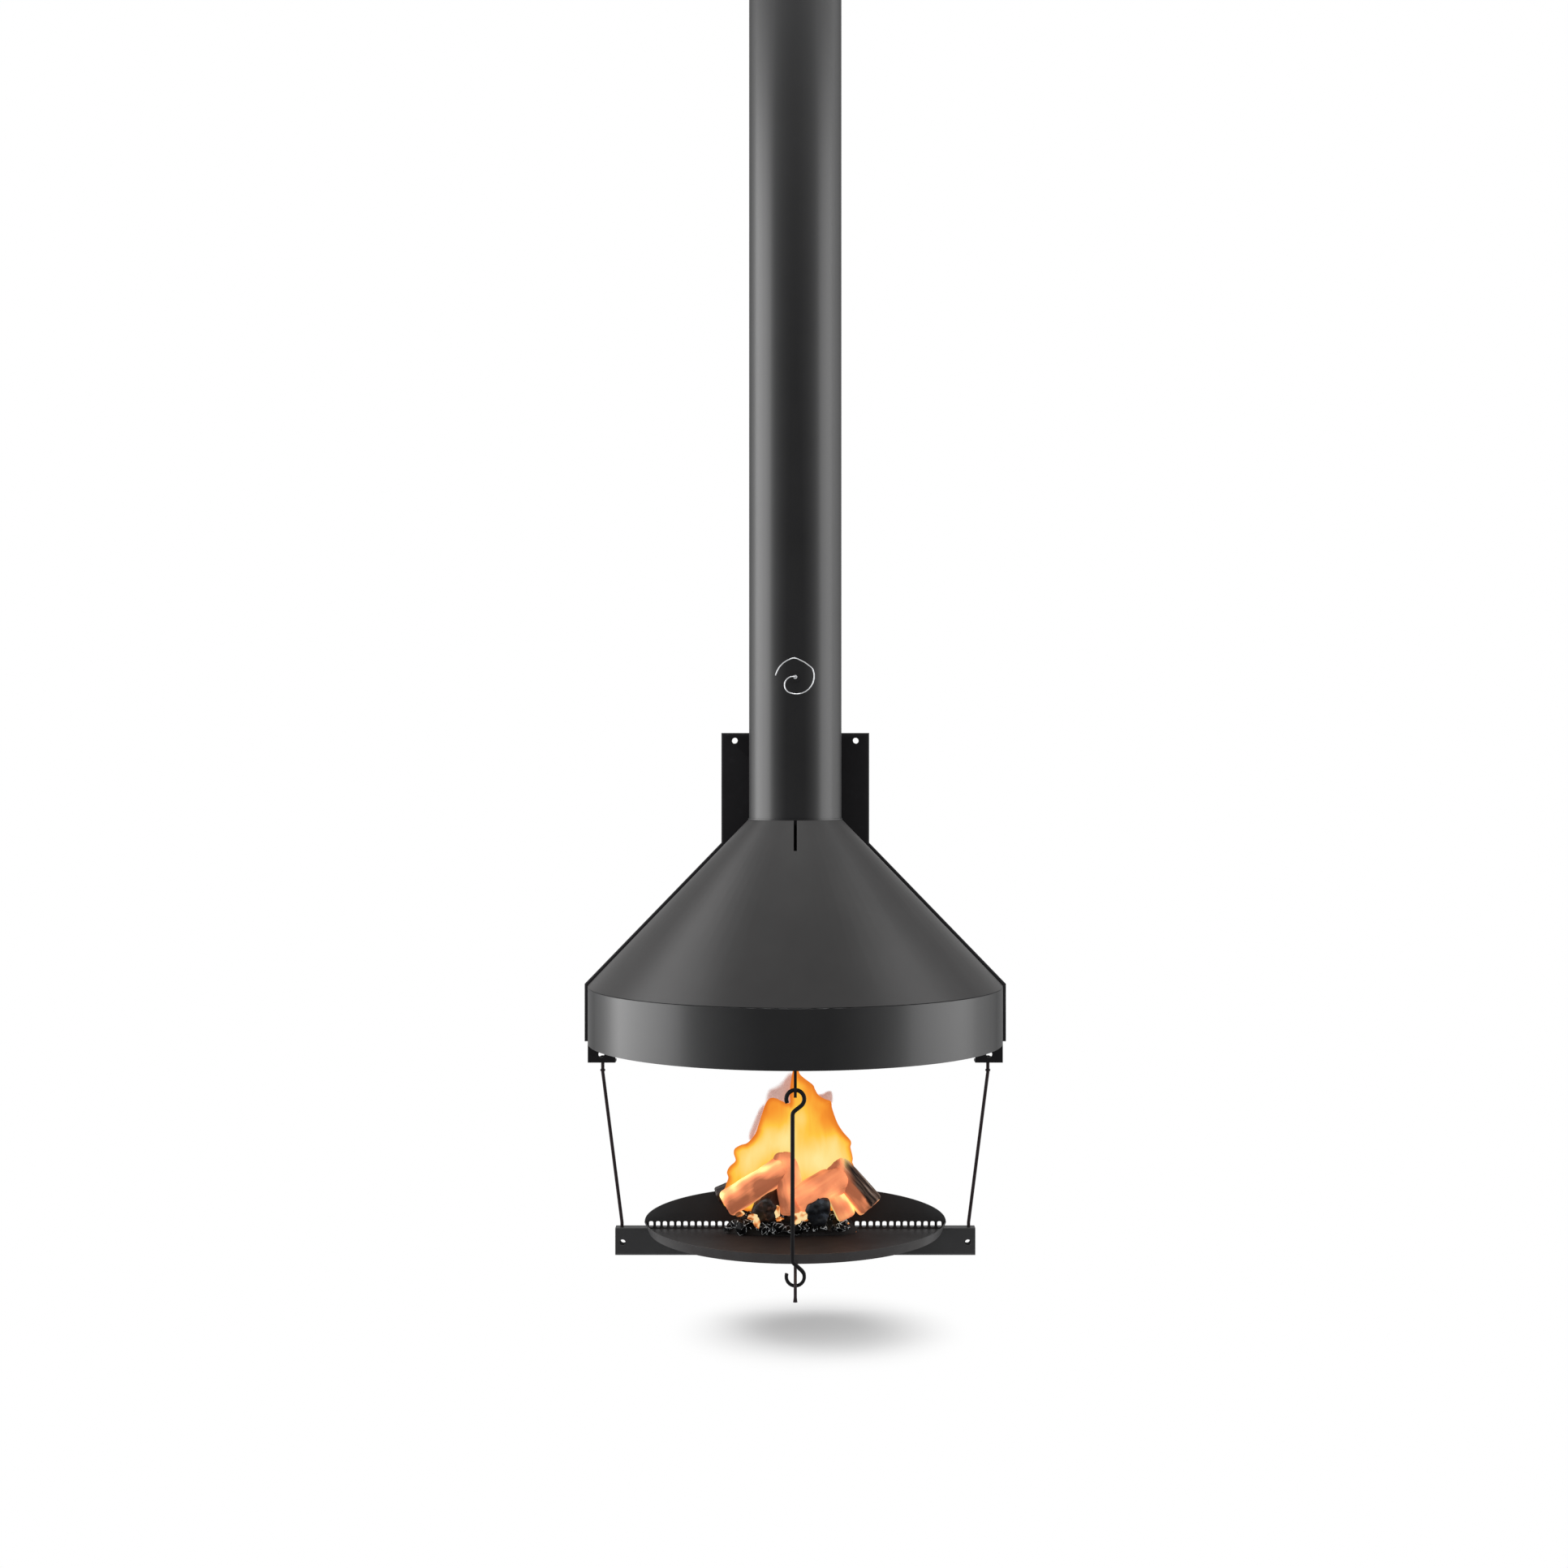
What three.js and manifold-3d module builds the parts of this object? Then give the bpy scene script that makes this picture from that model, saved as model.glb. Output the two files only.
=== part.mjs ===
// A wall-hung open fireplace: a half-round hood under a round flue, and a half-round
// hearth pan that hangs below it on two side rods and one front rod with open eyes.
//
// Millimetres, +Z up. The wall is the plane y = 0 and the room is on its -Y side.
// The origin lies on the wall, midway between the two upper screw holes.

import * as THREE from 'three';
import Module from 'manifold-3d';
import { mergeVertices } from 'three/addons/utils/BufferGeometryUtils.js';

const wasm = await Module();
wasm.setup();

// ---------------------------------------------------------------- driving sizes

const gap = 0.3; // clearance between pieces that touch
const sheet = 3; // folded sheet steel of the back plate, rail and upstand
const foldRadius = 5; // outer radius of a fold
const standOff = 30; // front faces of the back plate and rail, from the wall
const screwHoleRadius = 6.75; // wall screws, in the back plate, brackets and rail
const facets = 96; // facets of a full round

const flueRadius = 100;
const flueWall = 2;
const flueToPlate = 1;
const flueFoot = -170;
const flueTop = 1630;

const crownThickness = 3;
const crownLedge = 2; // how far the crown stands out round the flue
const spigotWall = 2;
const spigotHeight = 50;
const spigotDepth = 10;

const hoodRadius = 461;
const hoodWall = 3;
const coneWall = 4; // measured level
const seamZ = -543; // where the cone meets the upright band
const seamGroove = 1.5;
const bandHeight = 126;
const slitWidth = 6.7;
const slitHeight = 63;

const plateTop = 17;
const plateHalfTop = 164; // upright part of the back plate
const plateFlange = 7.7; // back plate outside the hood, all round
const upperScrewX = 134.5;
const lipDepth = 35; // inner lip along the top edge, which lies on the wall

const spindleZ = 129;
const spindleRadius = 4;
const spindleFront = 16; // stands out in front of the flue
const spindleBack = 11;
const bushWall = 2.7;
const bushFlange = 3;
const bushFlangeThickness = 2;
const bushDepth = 4;
const collarWidth = 5;
const collarWall = 3;
const discClearance = 3; // between the damper disc and the flue
const discThickness = 2.5;
const discVentRadius = 11;
const discScrewSpacing = 110;
const discScrewRadius = 2.2;
const discScrewHead = 4.5;
const handleWire = 1.6; // radius
const handleSocket = 10;
const handleReach = 15; // from the spindle's end to the plane of the spiral
const handleBend = 5;
const handleStart = 180; // heading of the spiral's inner end, degrees
const handleArcs = [ // bent by hand, so its outer turn has flats and corners
  { radius: 17.7, turn: 159 },
  { radius: 37.6, turn: 130 },
  { radius: 15.6, turn: 28 },
  { radius: 86, turn: 23 },
  { radius: 19.6, turn: 36 },
  { radius: 48, turn: 62 },
];

const railHalf = 399.3;
const railTop = -1080.7;
const railHeight = 61.2;
const railLip = 46; // back lip, which lies on the wall
const railFoot = 12; // lower flange
const railScrewInset = 16.3; // from the rail's end
const railScrewDrop = 32.3;

const bracketThickness = 5;
const bracketWidth = 57;
const bracketHeight = 135;
const bracketDrop = 46; // below the back plate
const bracketEar = 4; // how far the bracket stands out below the band
const bracketScrewInset = 26; // from the bracket's outer edge
const bracketScrewRise = 18;
const bracketBoltDrops = [24, 62];

const rodRadius = 3.75;
const rodTopInset = 27.3; // from the bracket's outer edge
const rodFootInset = 13.8; // from the rail's end
const rodKinkDrop = 23;
const rodFootRun = 9;
const rodDepth = 15; // from the wall
const rodBend = 14;
const rodTail = 13; // below the rail's top flange
const ferruleHeight = 4;
const ferruleWall = 1.5;

const boltRadius = 4;
const boltHead = 5.3;
const nutHeight = 6.5;
const acrossFlats = 13;

const eyeRadius = 18; // to the wire's centre
const hangerRadius = 3.6;
const hangerInset = 9; // the front rod's line, inside the band's outer face
const upperEyeZ = -726;
const shankOffset = 5.5;
const upperNeck = { angle: 52, radius: 12 };
const lowerNeck = { angle: 48, radius: 8 };
const upperTip = 205; // angles of the wire's two ends round their eyes
const lowerTip = 160;

const hookThickness = 6;
const hookThroat = 5.2;
const hookDepth = 11; // steel below the throat
const hookLimb = 10;
const hookTip = 6;
const hookWeld = 62; // length up the inside of the band

const armRadius = 3.25;
const armFlat = 16; // level part either side of the lower eye
const armDrop = 1.5;
const armTail = 31.5;
const armBend = 8;
const armFlare = 1.2;
const armNut = 5.2;

const panRadius = 336;
const panFlare = 10; // the lip leans out by this much
const panLip = 22;
const panFloor = 6;
const panWall = 3;
const panRim = -1065;
const upstandInset = 1.1; // from the lip's outer edge
const upstandRise = 78;
const slotPitch = 15.2;
const slotEdge = 5; // the row of slots is this much longer than the pan's floor
const slotWidth = 9.4;
const slotHeight = 13.5;
const slotRound = 3;
const panHookX = 100;
const panHookWidth = 36;
const panHookLeg = 30;
const panHookReach = 14;
const panHookDrop = 13;

// ---------------------------------------------------------------- derived places

const flueAxis = standOff + flueToPlate + flueRadius;
const flueBore = flueRadius - flueWall;
const plateFace = -standOff;
const hoodBack = plateFace - gap;
const crownTop = flueFoot - gap;
const coneTop = crownTop - crownThickness - gap;
const crownHalf = flueRadius + crownLedge;
const hangerY = hangerInset - hoodRadius;
const bandTop = seamZ - gap;
const bandFoot = seamZ - bandHeight;
const coneHalfFoot = Math.sqrt(hoodRadius ** 2 - standOff ** 2);
const coneLean = (coneHalfFoot - crownHalf) / (coneTop - seamZ);
const plateHalfFoot = coneHalfFoot + plateFlange;
const plateFoot = bandFoot + 1.5;
const bracketFoot = plateFoot - bracketDrop;
const bracketOuter = Math.sqrt((hoodRadius - hoodWall) ** 2 - (standOff + bracketThickness) ** 2) - 1;
const bracketInner = bracketOuter - bracketWidth;
const bracketScrewX = bracketOuter - bracketScrewInset;
const rodTopX = bracketOuter - rodTopInset;
const rodFootX = railHalf - rodFootInset;
const railScrewX = railHalf - railScrewInset;
const upperEyeTop = upperEyeZ + eyeRadius;
const lipFoot = panRim - panLip;
const armZ = lipFoot - gap - armRadius;
const armEyeZ = armZ - armDrop;
const lowerEyeZ = armEyeZ - armRadius - 0.5 + eyeRadius - hangerRadius;
const panBack = hoodBack - sheet - gap;
const floorTop = lipFoot + panFloor;
const upstandHalf = Math.sqrt(panRadius ** 2 - hoodBack ** 2) - upstandInset;
const upstandFootHalf = Math.sqrt((panRadius - panFlare) ** 2 - hoodBack ** 2);

const steel = material('#3b3d40', 0.42, 0.75);
const sootSteel = material('#1b1a1b', 0.6, 0.55);
const tintedSteel = material('#3a302b', 0.5, 0.7);
const brightSteel = material('#b9bcbf', 0.28, 1);
const hearthSteel = material('#2a2829', 0.62, 0.5);
const bark = material('#6b4a35', 0.9, 0);
const splitWood = material('#c8875a', 0.85, 0);
const charcoal = material('#17130f', 0.95, 0);

// ---------------------------------------------------------------- small helpers

function material(color, roughness, metalness) {
  return new THREE.MeshStandardMaterial({ color, roughness, metalness });
}

function radians(degrees) {
  return degrees * Math.PI / 180;
}

function solid(geometry) {
  const bare = geometry.clone();
  bare.deleteAttribute('normal');
  bare.deleteAttribute('uv');
  const merged = mergeVertices(bare, 1e-4);
  return new wasm.Manifold(new wasm.Mesh({
    numProp: 3,
    vertProperties: new Float32Array(merged.attributes.position.array),
    triVerts: new Uint32Array(merged.index.array),
  }));
}

function shape(body) {
  const mesh = body.getMesh();
  const geometry = new THREE.BufferGeometry();
  geometry.setAttribute('position', new THREE.BufferAttribute(mesh.vertProperties, 3));
  geometry.setIndex(new THREE.BufferAttribute(mesh.triVerts, 1));
  geometry.computeVertexNormals();
  return geometry;
}

function cut(body, ...tools) {
  return tools.reduce((left, tool) => left.subtract(tool), body);
}

function join(...bodies) {
  return bodies.reduce((whole, body) => whole.add(body));
}

function box(x0, x1, y0, y1, z0, z1) {
  const geometry = new THREE.BoxGeometry(x1 - x0, y1 - y0, z1 - z0);
  geometry.translate((x0 + x1) / 2, (y0 + y1) / 2, (z0 + z1) / 2);
  return solid(geometry);
}

// A bar along Y, from y0 to y1.
function barY(radius, x, z, y0, y1, sides = 24) {
  const geometry = new THREE.CylinderGeometry(radius, radius, y1 - y0, sides);
  geometry.translate(x, (y0 + y1) / 2, z);
  return solid(geometry);
}

// A bar along Z, from z0 to z1.
function barZ(radius, x, y, z0, z1, sides = 24) {
  const geometry = new THREE.CylinderGeometry(radius, radius, z1 - z0, sides);
  geometry.rotateX(Math.PI / 2);
  geometry.translate(x, y, (z0 + z1) / 2);
  return solid(geometry);
}

// A profile of [radius, height] pairs turned round the Z axis.
function turned(profile, segments = facets) {
  const points = profile.map(([radius, height]) => new THREE.Vector2(radius, height));
  const geometry = new THREE.LatheGeometry(points, segments);
  geometry.rotateX(Math.PI / 2);
  return geometry;
}

// A ring of square section round the Z axis.
function ring(inner, outer, z0, z1, segments = facets) {
  return turned([[inner, z0], [outer, z0], [outer, z1], [inner, z1], [inner, z0]], segments);
}

// What stands on the room side of y = limit.
function roomSide(body, limit) {
  const reach = 2000;
  return cut(body, box(-reach, reach, limit, limit + reach, -reach, reach));
}

// A flat outline of [x, z] corners, made solid from y = back towards the room.
function upright(outline, back, depth, holes = [], options = {}) {
  const flat = outline instanceof THREE.Shape ? outline : polygon(outline);
  flat.holes.push(...holes);
  const geometry = new THREE.ExtrudeGeometry(flat, { depth, bevelEnabled: false, ...options });
  geometry.rotateX(Math.PI / 2);
  geometry.translate(0, back, 0);
  return solid(geometry);
}

// A flat outline of [y, z] corners, made solid along X about x = middle.
function crosswise(outline, middle, width) {
  const flat = outline instanceof THREE.Shape ? outline : polygon(outline);
  const geometry = new THREE.ExtrudeGeometry(flat, { depth: width, bevelEnabled: false });
  geometry.rotateX(Math.PI / 2);
  geometry.rotateZ(Math.PI / 2);
  geometry.translate(middle - width / 2, 0, 0);
  return solid(geometry);
}

function polygon(corners) {
  return new THREE.Shape(corners.map(([u, v]) => new THREE.Vector2(u, v)));
}

function roundHole(radius, u, v) {
  const hole = new THREE.Path();
  hole.absarc(u, v, radius, 0, 2 * Math.PI, true);
  return hole;
}

// ---------------------------------------------------------------- bent wire

// The places along a wire bent in one plane: runs, and arcs of a radius and a turn.
function bentWire(start, heading, moves) {
  const places = [new THREE.Vector2(...start)];
  let angle = radians(heading);
  const degreesPerStep = 14;
  for (const move of moves) {
    const from = places[places.length - 1];
    if (move.run !== undefined) {
      places.push(new THREE.Vector2(Math.cos(angle), Math.sin(angle)).multiplyScalar(move.run).add(from));
      continue;
    }
    const side = Math.sign(move.turn);
    const steps = Math.max(2, Math.ceil(Math.abs(move.turn) / degreesPerStep));
    const centre = new THREE.Vector2(-Math.sin(angle), Math.cos(angle));
    centre.multiplyScalar(side * move.radius).add(from);
    for (let step = 1; step <= steps; step += 1) {
      const turned = angle + radians(move.turn) * step / steps;
      const spoke = new THREE.Vector2(Math.sin(turned), -Math.cos(turned));
      places.push(spoke.multiplyScalar(side * move.radius).add(centre));
    }
    angle += radians(move.turn);
  }
  return places;
}

// A path with one section of the wire at each of its places.
class BentPath extends THREE.Curve {
  constructor(places) {
    super();
    this.places = places;
  }

  getPoint(t, target = new THREE.Vector3()) {
    const last = this.places.length - 1;
    const index = Math.min(Math.floor(t * last + 1e-9), last - 1);
    return target.lerpVectors(this.places[index], this.places[index + 1], t * last - index);
  }

  getPointAt(u, target) {
    return this.getPoint(u, target);
  }

  getTangentAt(u, target = new THREE.Vector3()) {
    const last = this.places.length - 1;
    const index = Math.round(u * last);
    const before = Math.max(index - 1, 0);
    const after = Math.min(index + 1, last);
    const arriving = this.places[Math.min(before + 1, last)].clone().sub(this.places[before]);
    const leaving = this.places[after].clone().sub(this.places[after - 1]);
    return target.copy(arriving.normalize()).add(leaving.normalize()).normalize();
  }
}

function wire(places, radius, sides = 10) {
  const section = new THREE.Shape();
  for (let side = 0; side < sides; side += 1) {
    const angle = 2 * Math.PI * side / sides;
    const corner = [radius * Math.cos(angle), radius * Math.sin(angle)];
    if (side === 0) section.moveTo(...corner);
    else section.lineTo(...corner);
  }
  section.closePath();
  const extrudePath = new BentPath(places);
  return new THREE.ExtrudeGeometry(section, { steps: places.length - 1, extrudePath });
}

// The least clear distance between parts of a wire that lie apart along its length.
function leastGap(places, radius) {
  const apart = 6 * radius;
  let least = Infinity;
  for (let first = 0; first < places.length; first += 1) {
    let along = 0;
    for (let second = first + 1; second < places.length; second += 1) {
      along += places[second].distanceTo(places[second - 1]);
      if (along > apart) least = Math.min(least, places[first].distanceTo(places[second]));
    }
  }
  return least - 2 * radius;
}

// ---------------------------------------------------------------- fasteners

function hexagon(flats, z0, z1, bore = 0) {
  const section = new THREE.Shape();
  for (let corner = 0; corner < 6; corner += 1) {
    const angle = radians(60 * corner);
    const reach = flats / 2 / Math.cos(radians(30));
    const place = [reach * Math.cos(angle), reach * Math.sin(angle)];
    if (corner === 0) section.moveTo(...place);
    else section.lineTo(...place);
  }
  section.closePath();
  if (bore > 0) section.holes.push(roundHole(bore, 0, 0));
  const options = { depth: z1 - z0, bevelEnabled: false, curveSegments: 8 };
  const geometry = new THREE.ExtrudeGeometry(section, options);
  geometry.translate(0, 0, z0);
  return geometry;
}

function addAlongY(name, geometry, finish, x, y, z) {
  const piece = new THREE.Mesh(geometry, finish);
  piece.name = name;
  piece.rotation.x = Math.PI / 2; // the fastener's own +Z points into the room
  piece.position.set(x, y, z);
  group.add(piece);
}

// ---------------------------------------------------------------- the assembly

const group = new THREE.Group();

function add(name, geometry, finish, parent = group) {
  const piece = new THREE.Mesh(geometry, finish);
  piece.name = name;
  parent.add(piece);
  return piece;
}

// The flue: a plain pipe, bored front and back for the damper.
function fluePipe() {
  const pipe = ring(flueBore, flueRadius, flueFoot, flueTop, 64);
  pipe.translate(0, -flueAxis, 0);
  const hole = spindleRadius + gap + bushWall + gap;
  return shape(cut(solid(pipe), barY(hole, 0, spindleZ, -flueAxis - 2 * flueRadius, 0)));
}

// The level plate that closes the hood's top and carries the flue and its spigot.
function hoodCrown() {
  const outline = new THREE.Shape();
  outline.moveTo(crownHalf, -hoodBack);
  outline.lineTo(crownHalf, flueAxis);
  outline.absarc(0, flueAxis, crownHalf, 0, Math.PI, false);
  outline.lineTo(-crownHalf, -hoodBack);
  outline.closePath();
  const spigotOuter = flueBore - gap;
  outline.holes.push(roundHole(spigotOuter + gap, 0, flueAxis));
  const options = { depth: crownThickness, bevelEnabled: false, curveSegments: 40 };
  const geometry = new THREE.ExtrudeGeometry(outline, options);
  geometry.rotateX(Math.PI);
  geometry.translate(0, 0, crownTop);
  return geometry;
}

function flueSpigot() {
  const outer = flueBore - gap;
  const foot = crownTop - crownThickness - spigotDepth;
  const geometry = ring(outer - spigotWall, outer, foot, flueFoot + spigotHeight, 64);
  geometry.translate(0, -flueAxis, 0);
  return geometry;
}

// The outline of the hood at one height: an arch that the plane y = back cuts off.
function archOutline(half, centre, back, z) {
  const places = [];
  const steps = 40;
  const reach = centre > -back ? half : Math.sqrt(half ** 2 - (back + centre) ** 2);
  places.push(new THREE.Vector3(reach, back, z));
  for (let step = 0; step <= steps; step += 1) {
    const angle = Math.PI * step / steps;
    const y = -centre - half * Math.sin(angle);
    const side = Math.sign(Math.cos(angle));
    if (y < back) places.push(new THREE.Vector3(half * Math.cos(angle), y, z));
    else places.push(new THREE.Vector3(side * reach, back, z));
  }
  places.push(new THREE.Vector3(-reach, back, z));
  return places;
}

// A solid between two level outlines of as many places each, both clockwise from above.
function loft(upper, lower) {
  const corners = [];
  const face = (...triangle) => {
    const [a, b, c] = triangle;
    const tiny = 1e-6;
    const flat = a.distanceTo(b) < tiny || b.distanceTo(c) < tiny || c.distanceTo(a) < tiny;
    if (!flat) corners.push(...triangle);
  };
  upper.forEach((place, index) => {
    const next = (index + 1) % upper.length;
    face(place, upper[next], lower[next]);
    face(place, lower[next], lower[index]);
    face(upper[0], upper[next], place);
    face(lower[0], lower[index], lower[next]);
  });
  return solid(new THREE.BufferGeometry().setFromPoints(corners));
}

// The outline at a height of the cone, whose centre and radius both change evenly with z.
function coneOutline(z, inset, back) {
  const share = (z - seamZ) / (coneTop - seamZ);
  const half = hoodRadius + (crownHalf - hoodRadius) * share - inset;
  return archOutline(half, flueAxis * share, back, z);
}

// The cone is the developed surface between the crown's outline and the half-round seam.
function hoodCone() {
  const outer = loft(coneOutline(coneTop, 0, hoodBack), coneOutline(seamZ, 0, hoodBack));
  const beyond = 30;
  const inner = loft(
    coneOutline(coneTop + beyond, coneWall, hoodBack + beyond),
    coneOutline(seamZ - beyond, coneWall, hoodBack + beyond),
  );
  const front = flueAxis + crownHalf;
  const slit = box(-slitWidth / 2, slitWidth / 2, -front - slitHeight, -front + 20,
    coneTop - slitHeight, coneTop + 1);
  return shape(cut(outer, inner, slit));
}

function hoodBand() {
  const profile = [
    [hoodRadius - hoodWall, bandFoot],
    [hoodRadius, bandFoot],
    [hoodRadius, bandTop - seamGroove],
    [hoodRadius - seamGroove, bandTop],
    [hoodRadius - hoodWall, bandTop],
    [hoodRadius - hoodWall, bandFoot],
  ];
  return shape(roomSide(solid(turned(profile)), hoodBack));
}

// The back plate's outline keeps one flange width outside the cone and the band.
function plateOutline() {
  const sideways = plateFlange * Math.hypot(1, coneLean);
  const level = (half) => coneTop - (half - sideways - crownHalf) / coneLean;
  const shoulder = level(plateHalfTop);
  const corner = level(plateHalfFoot);
  return [
    [plateHalfTop, plateTop],
    [-plateHalfTop, plateTop],
    [-plateHalfTop, shoulder],
    [-plateHalfFoot, corner],
    [-plateHalfFoot, plateFoot],
    [plateHalfFoot, plateFoot],
    [plateHalfFoot, corner],
    [plateHalfTop, shoulder],
  ];
}

// A tray folded from sheet: its face looks into the room and its edges reach the wall.
function foldedTray(outline) {
  const beyond = 20;
  const skin = (inset) => {
    const round = foldRadius - inset;
    const options = {
      bevelEnabled: true,
      bevelSegments: 3,
      bevelThickness: round,
      bevelSize: round,
      bevelOffset: -foldRadius,
    };
    return upright(outline, beyond, standOff - foldRadius + beyond, [], options);
  };
  const wallSide = box(-2000, 2000, 0, 200, -2000, 2000);
  return cut(skin(0), skin(sheet), wallSide);
}

function hoodBackPlate() {
  const tray = foldedTray(plateOutline());
  const lip = box(-plateHalfTop + 1, plateHalfTop - 1, -sheet, 0, plateTop - lipDepth, plateTop - 1);
  const holes = [-1, 1].map((side) => barY(screwHoleRadius, side * upperScrewX, 0, -standOff - 5, 5));
  const bolts = [];
  for (const side of [-1, 1]) {
    for (const drop of bracketBoltDrops) {
      bolts.push(barY(boltRadius + gap, side * bracketScrewX, bracketTop - drop, -standOff - 5, -sheet - 5));
    }
  }
  return shape(cut(join(tray, lip), ...holes, ...bolts));
}

const bracketTop = bracketFoot + bracketHeight;

// A bracket bolted inside the hood: its ear takes a wall screw, its foot takes a side rod.
function bracket(side) {
  const front = hoodBack - bracketThickness;
  const foot = bracketFoot + bracketThickness;
  const back = -2;
  const face = box(bracketInner, bracketOuter, front, hoodBack, bracketFoot, bracketTop);
  const shelf = box(bracketInner, bracketOuter, front, back, bracketFoot, foot);
  const inward = bracketOuter - bracketThickness;
  const cheek = box(inward, bracketOuter, front, back, bracketFoot, plateFoot - gap);
  const ear = box(bracketInner, bracketOuter + bracketEar, front, hoodBack, bracketFoot, bandFoot - gap);
  const screw = barY(screwHoleRadius, bracketScrewX, bracketFoot + bracketScrewRise, front - 5, 5);
  const rod = barZ(rodRadius + gap, rodTopX, -rodDepth, bracketFoot - 5, foot + 5);
  const bolts = bracketBoltDrops.map((drop) => (
    barY(boltRadius + gap, bracketScrewX, bracketTop - drop, front - 5, hoodBack + 5)));
  const body = cut(join(face, ear, shelf, cheek), screw, rod, ...bolts);
  return shape(side < 0 ? body.mirror([1, 0, 0]) : body);
}

// A hook cut from plate and welded up the inside of the band: its throat holds the eye.
function hoodHook() {
  const curveSag = hookThickness ** 2 / 8 / (eyeRadius - hangerRadius) + 0.2;
  const throatZ = upperEyeTop - hangerRadius - gap - curveSag + hookThroat;
  const weldFace = -(hoodRadius - hoodWall - gap);
  const rear = hangerY + hookThroat + hookLimb;
  const tipFront = hangerY - hookThroat - hookLimb;
  const belly = hookThroat + hookDepth;
  const outline = new THREE.Shape();
  outline.moveTo(rear, bandFoot + hookWeld - 14);
  outline.lineTo(rear, throatZ);
  outline.bezierCurveTo(rear, throatZ - belly * 1.3, tipFront, throatZ - belly * 1.35, tipFront, throatZ);
  outline.lineTo(tipFront, throatZ + hookTip - hookLimb / 2);
  outline.absarc(tipFront + hookLimb / 2, throatZ + hookTip - hookLimb / 2, hookLimb / 2, Math.PI, 0, true);
  outline.lineTo(hangerY - hookThroat, throatZ);
  outline.absarc(hangerY, throatZ, hookThroat, Math.PI, 2 * Math.PI, false);
  outline.lineTo(hangerY + hookThroat, throatZ + 14);
  outline.quadraticCurveTo(hangerY + hookThroat, bandFoot - 4, weldFace, bandFoot + 2);
  outline.lineTo(weldFace, bandFoot + hookWeld);
  outline.closePath();
  return shape(crosswise(outline, 0, hookThickness));
}

// A side rod: upright through the bracket, kinked, and upright again into the rail.
function sideRod(side) {
  const kinkZ = bracketFoot - rodKinkDrop;
  const footZ = railTop + rodFootRun;
  const slant = Math.atan2(rodTopX - rodFootX, kinkZ - footZ) * 180 / Math.PI;
  const ease = rodBend * Math.tan(radians(slant / 2));
  const top = bracketFoot + bracketThickness + gap + nutHeight + 1.5;
  const moves = [
    { run: top - kinkZ - ease },
    { radius: rodBend, turn: -slant },
    { run: Math.hypot(rodTopX - rodFootX, kinkZ - footZ) - 2 * ease },
    { radius: rodBend, turn: slant },
    { run: footZ - railTop + sheet + rodTail - ease },
  ];
  const flat = bentWire([rodTopX, top], -90, moves);
  const places = flat.map((place) => new THREE.Vector3(side * place.x, -rodDepth, place.y));
  return wire(places, rodRadius, 12);
}

// The rail: sheet folded to a front web, a top flange, a back lip and a short foot.
function hearthRail() {
  const foot = railTop - railHeight;
  const outer = foldRadius;
  const inner = foldRadius - sheet;
  const front = plateFace;
  const line = new THREE.Shape();
  line.moveTo(0, railTop - railLip);
  line.lineTo(0, railTop - outer);
  line.absarc(-outer, railTop - outer, outer, 0, Math.PI / 2, false);
  line.lineTo(front + outer, railTop);
  line.absarc(front + outer, railTop - outer, outer, Math.PI / 2, Math.PI, false);
  line.lineTo(front, foot + outer);
  line.absarc(front + outer, foot + outer, outer, Math.PI, 1.5 * Math.PI, false);
  line.lineTo(front + railFoot, foot);
  line.lineTo(front + railFoot, foot + sheet);
  line.lineTo(front + outer, foot + sheet);
  line.absarc(front + outer, foot + outer, inner, 1.5 * Math.PI, Math.PI, true);
  line.lineTo(front + sheet, railTop - outer);
  line.absarc(front + outer, railTop - outer, inner, Math.PI, Math.PI / 2, true);
  line.lineTo(-outer, railTop - sheet);
  line.absarc(-outer, railTop - outer, inner, Math.PI / 2, 0, true);
  line.lineTo(-sheet, railTop - railLip);
  line.closePath();
  const tools = [barY(armRadius + gap, 0, armZ, -standOff - 5, -standOff + sheet + 5)];
  for (const side of [-1, 1]) {
    tools.push(barY(screwHoleRadius, side * railScrewX, railTop - railScrewDrop, -standOff - 5, 5));
    tools.push(barZ(rodRadius + gap, side * rodFootX, -rodDepth, railTop - sheet - 2, railTop + 2));
    const half = panHookWidth / 2 + 2;
    const middle = side * panHookX;
    tools.push(box(middle - half, middle + half, panHookLegY - sheet / 2 - 2, panHookLegY + sheet / 2 + 2,
      railTop - sheet - 1, railTop + 1));
  }
  return shape(cut(crosswise(line, 0, 2 * railHalf), ...tools));
}

const panHookLegY = -standOff + panHookReach;

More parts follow.
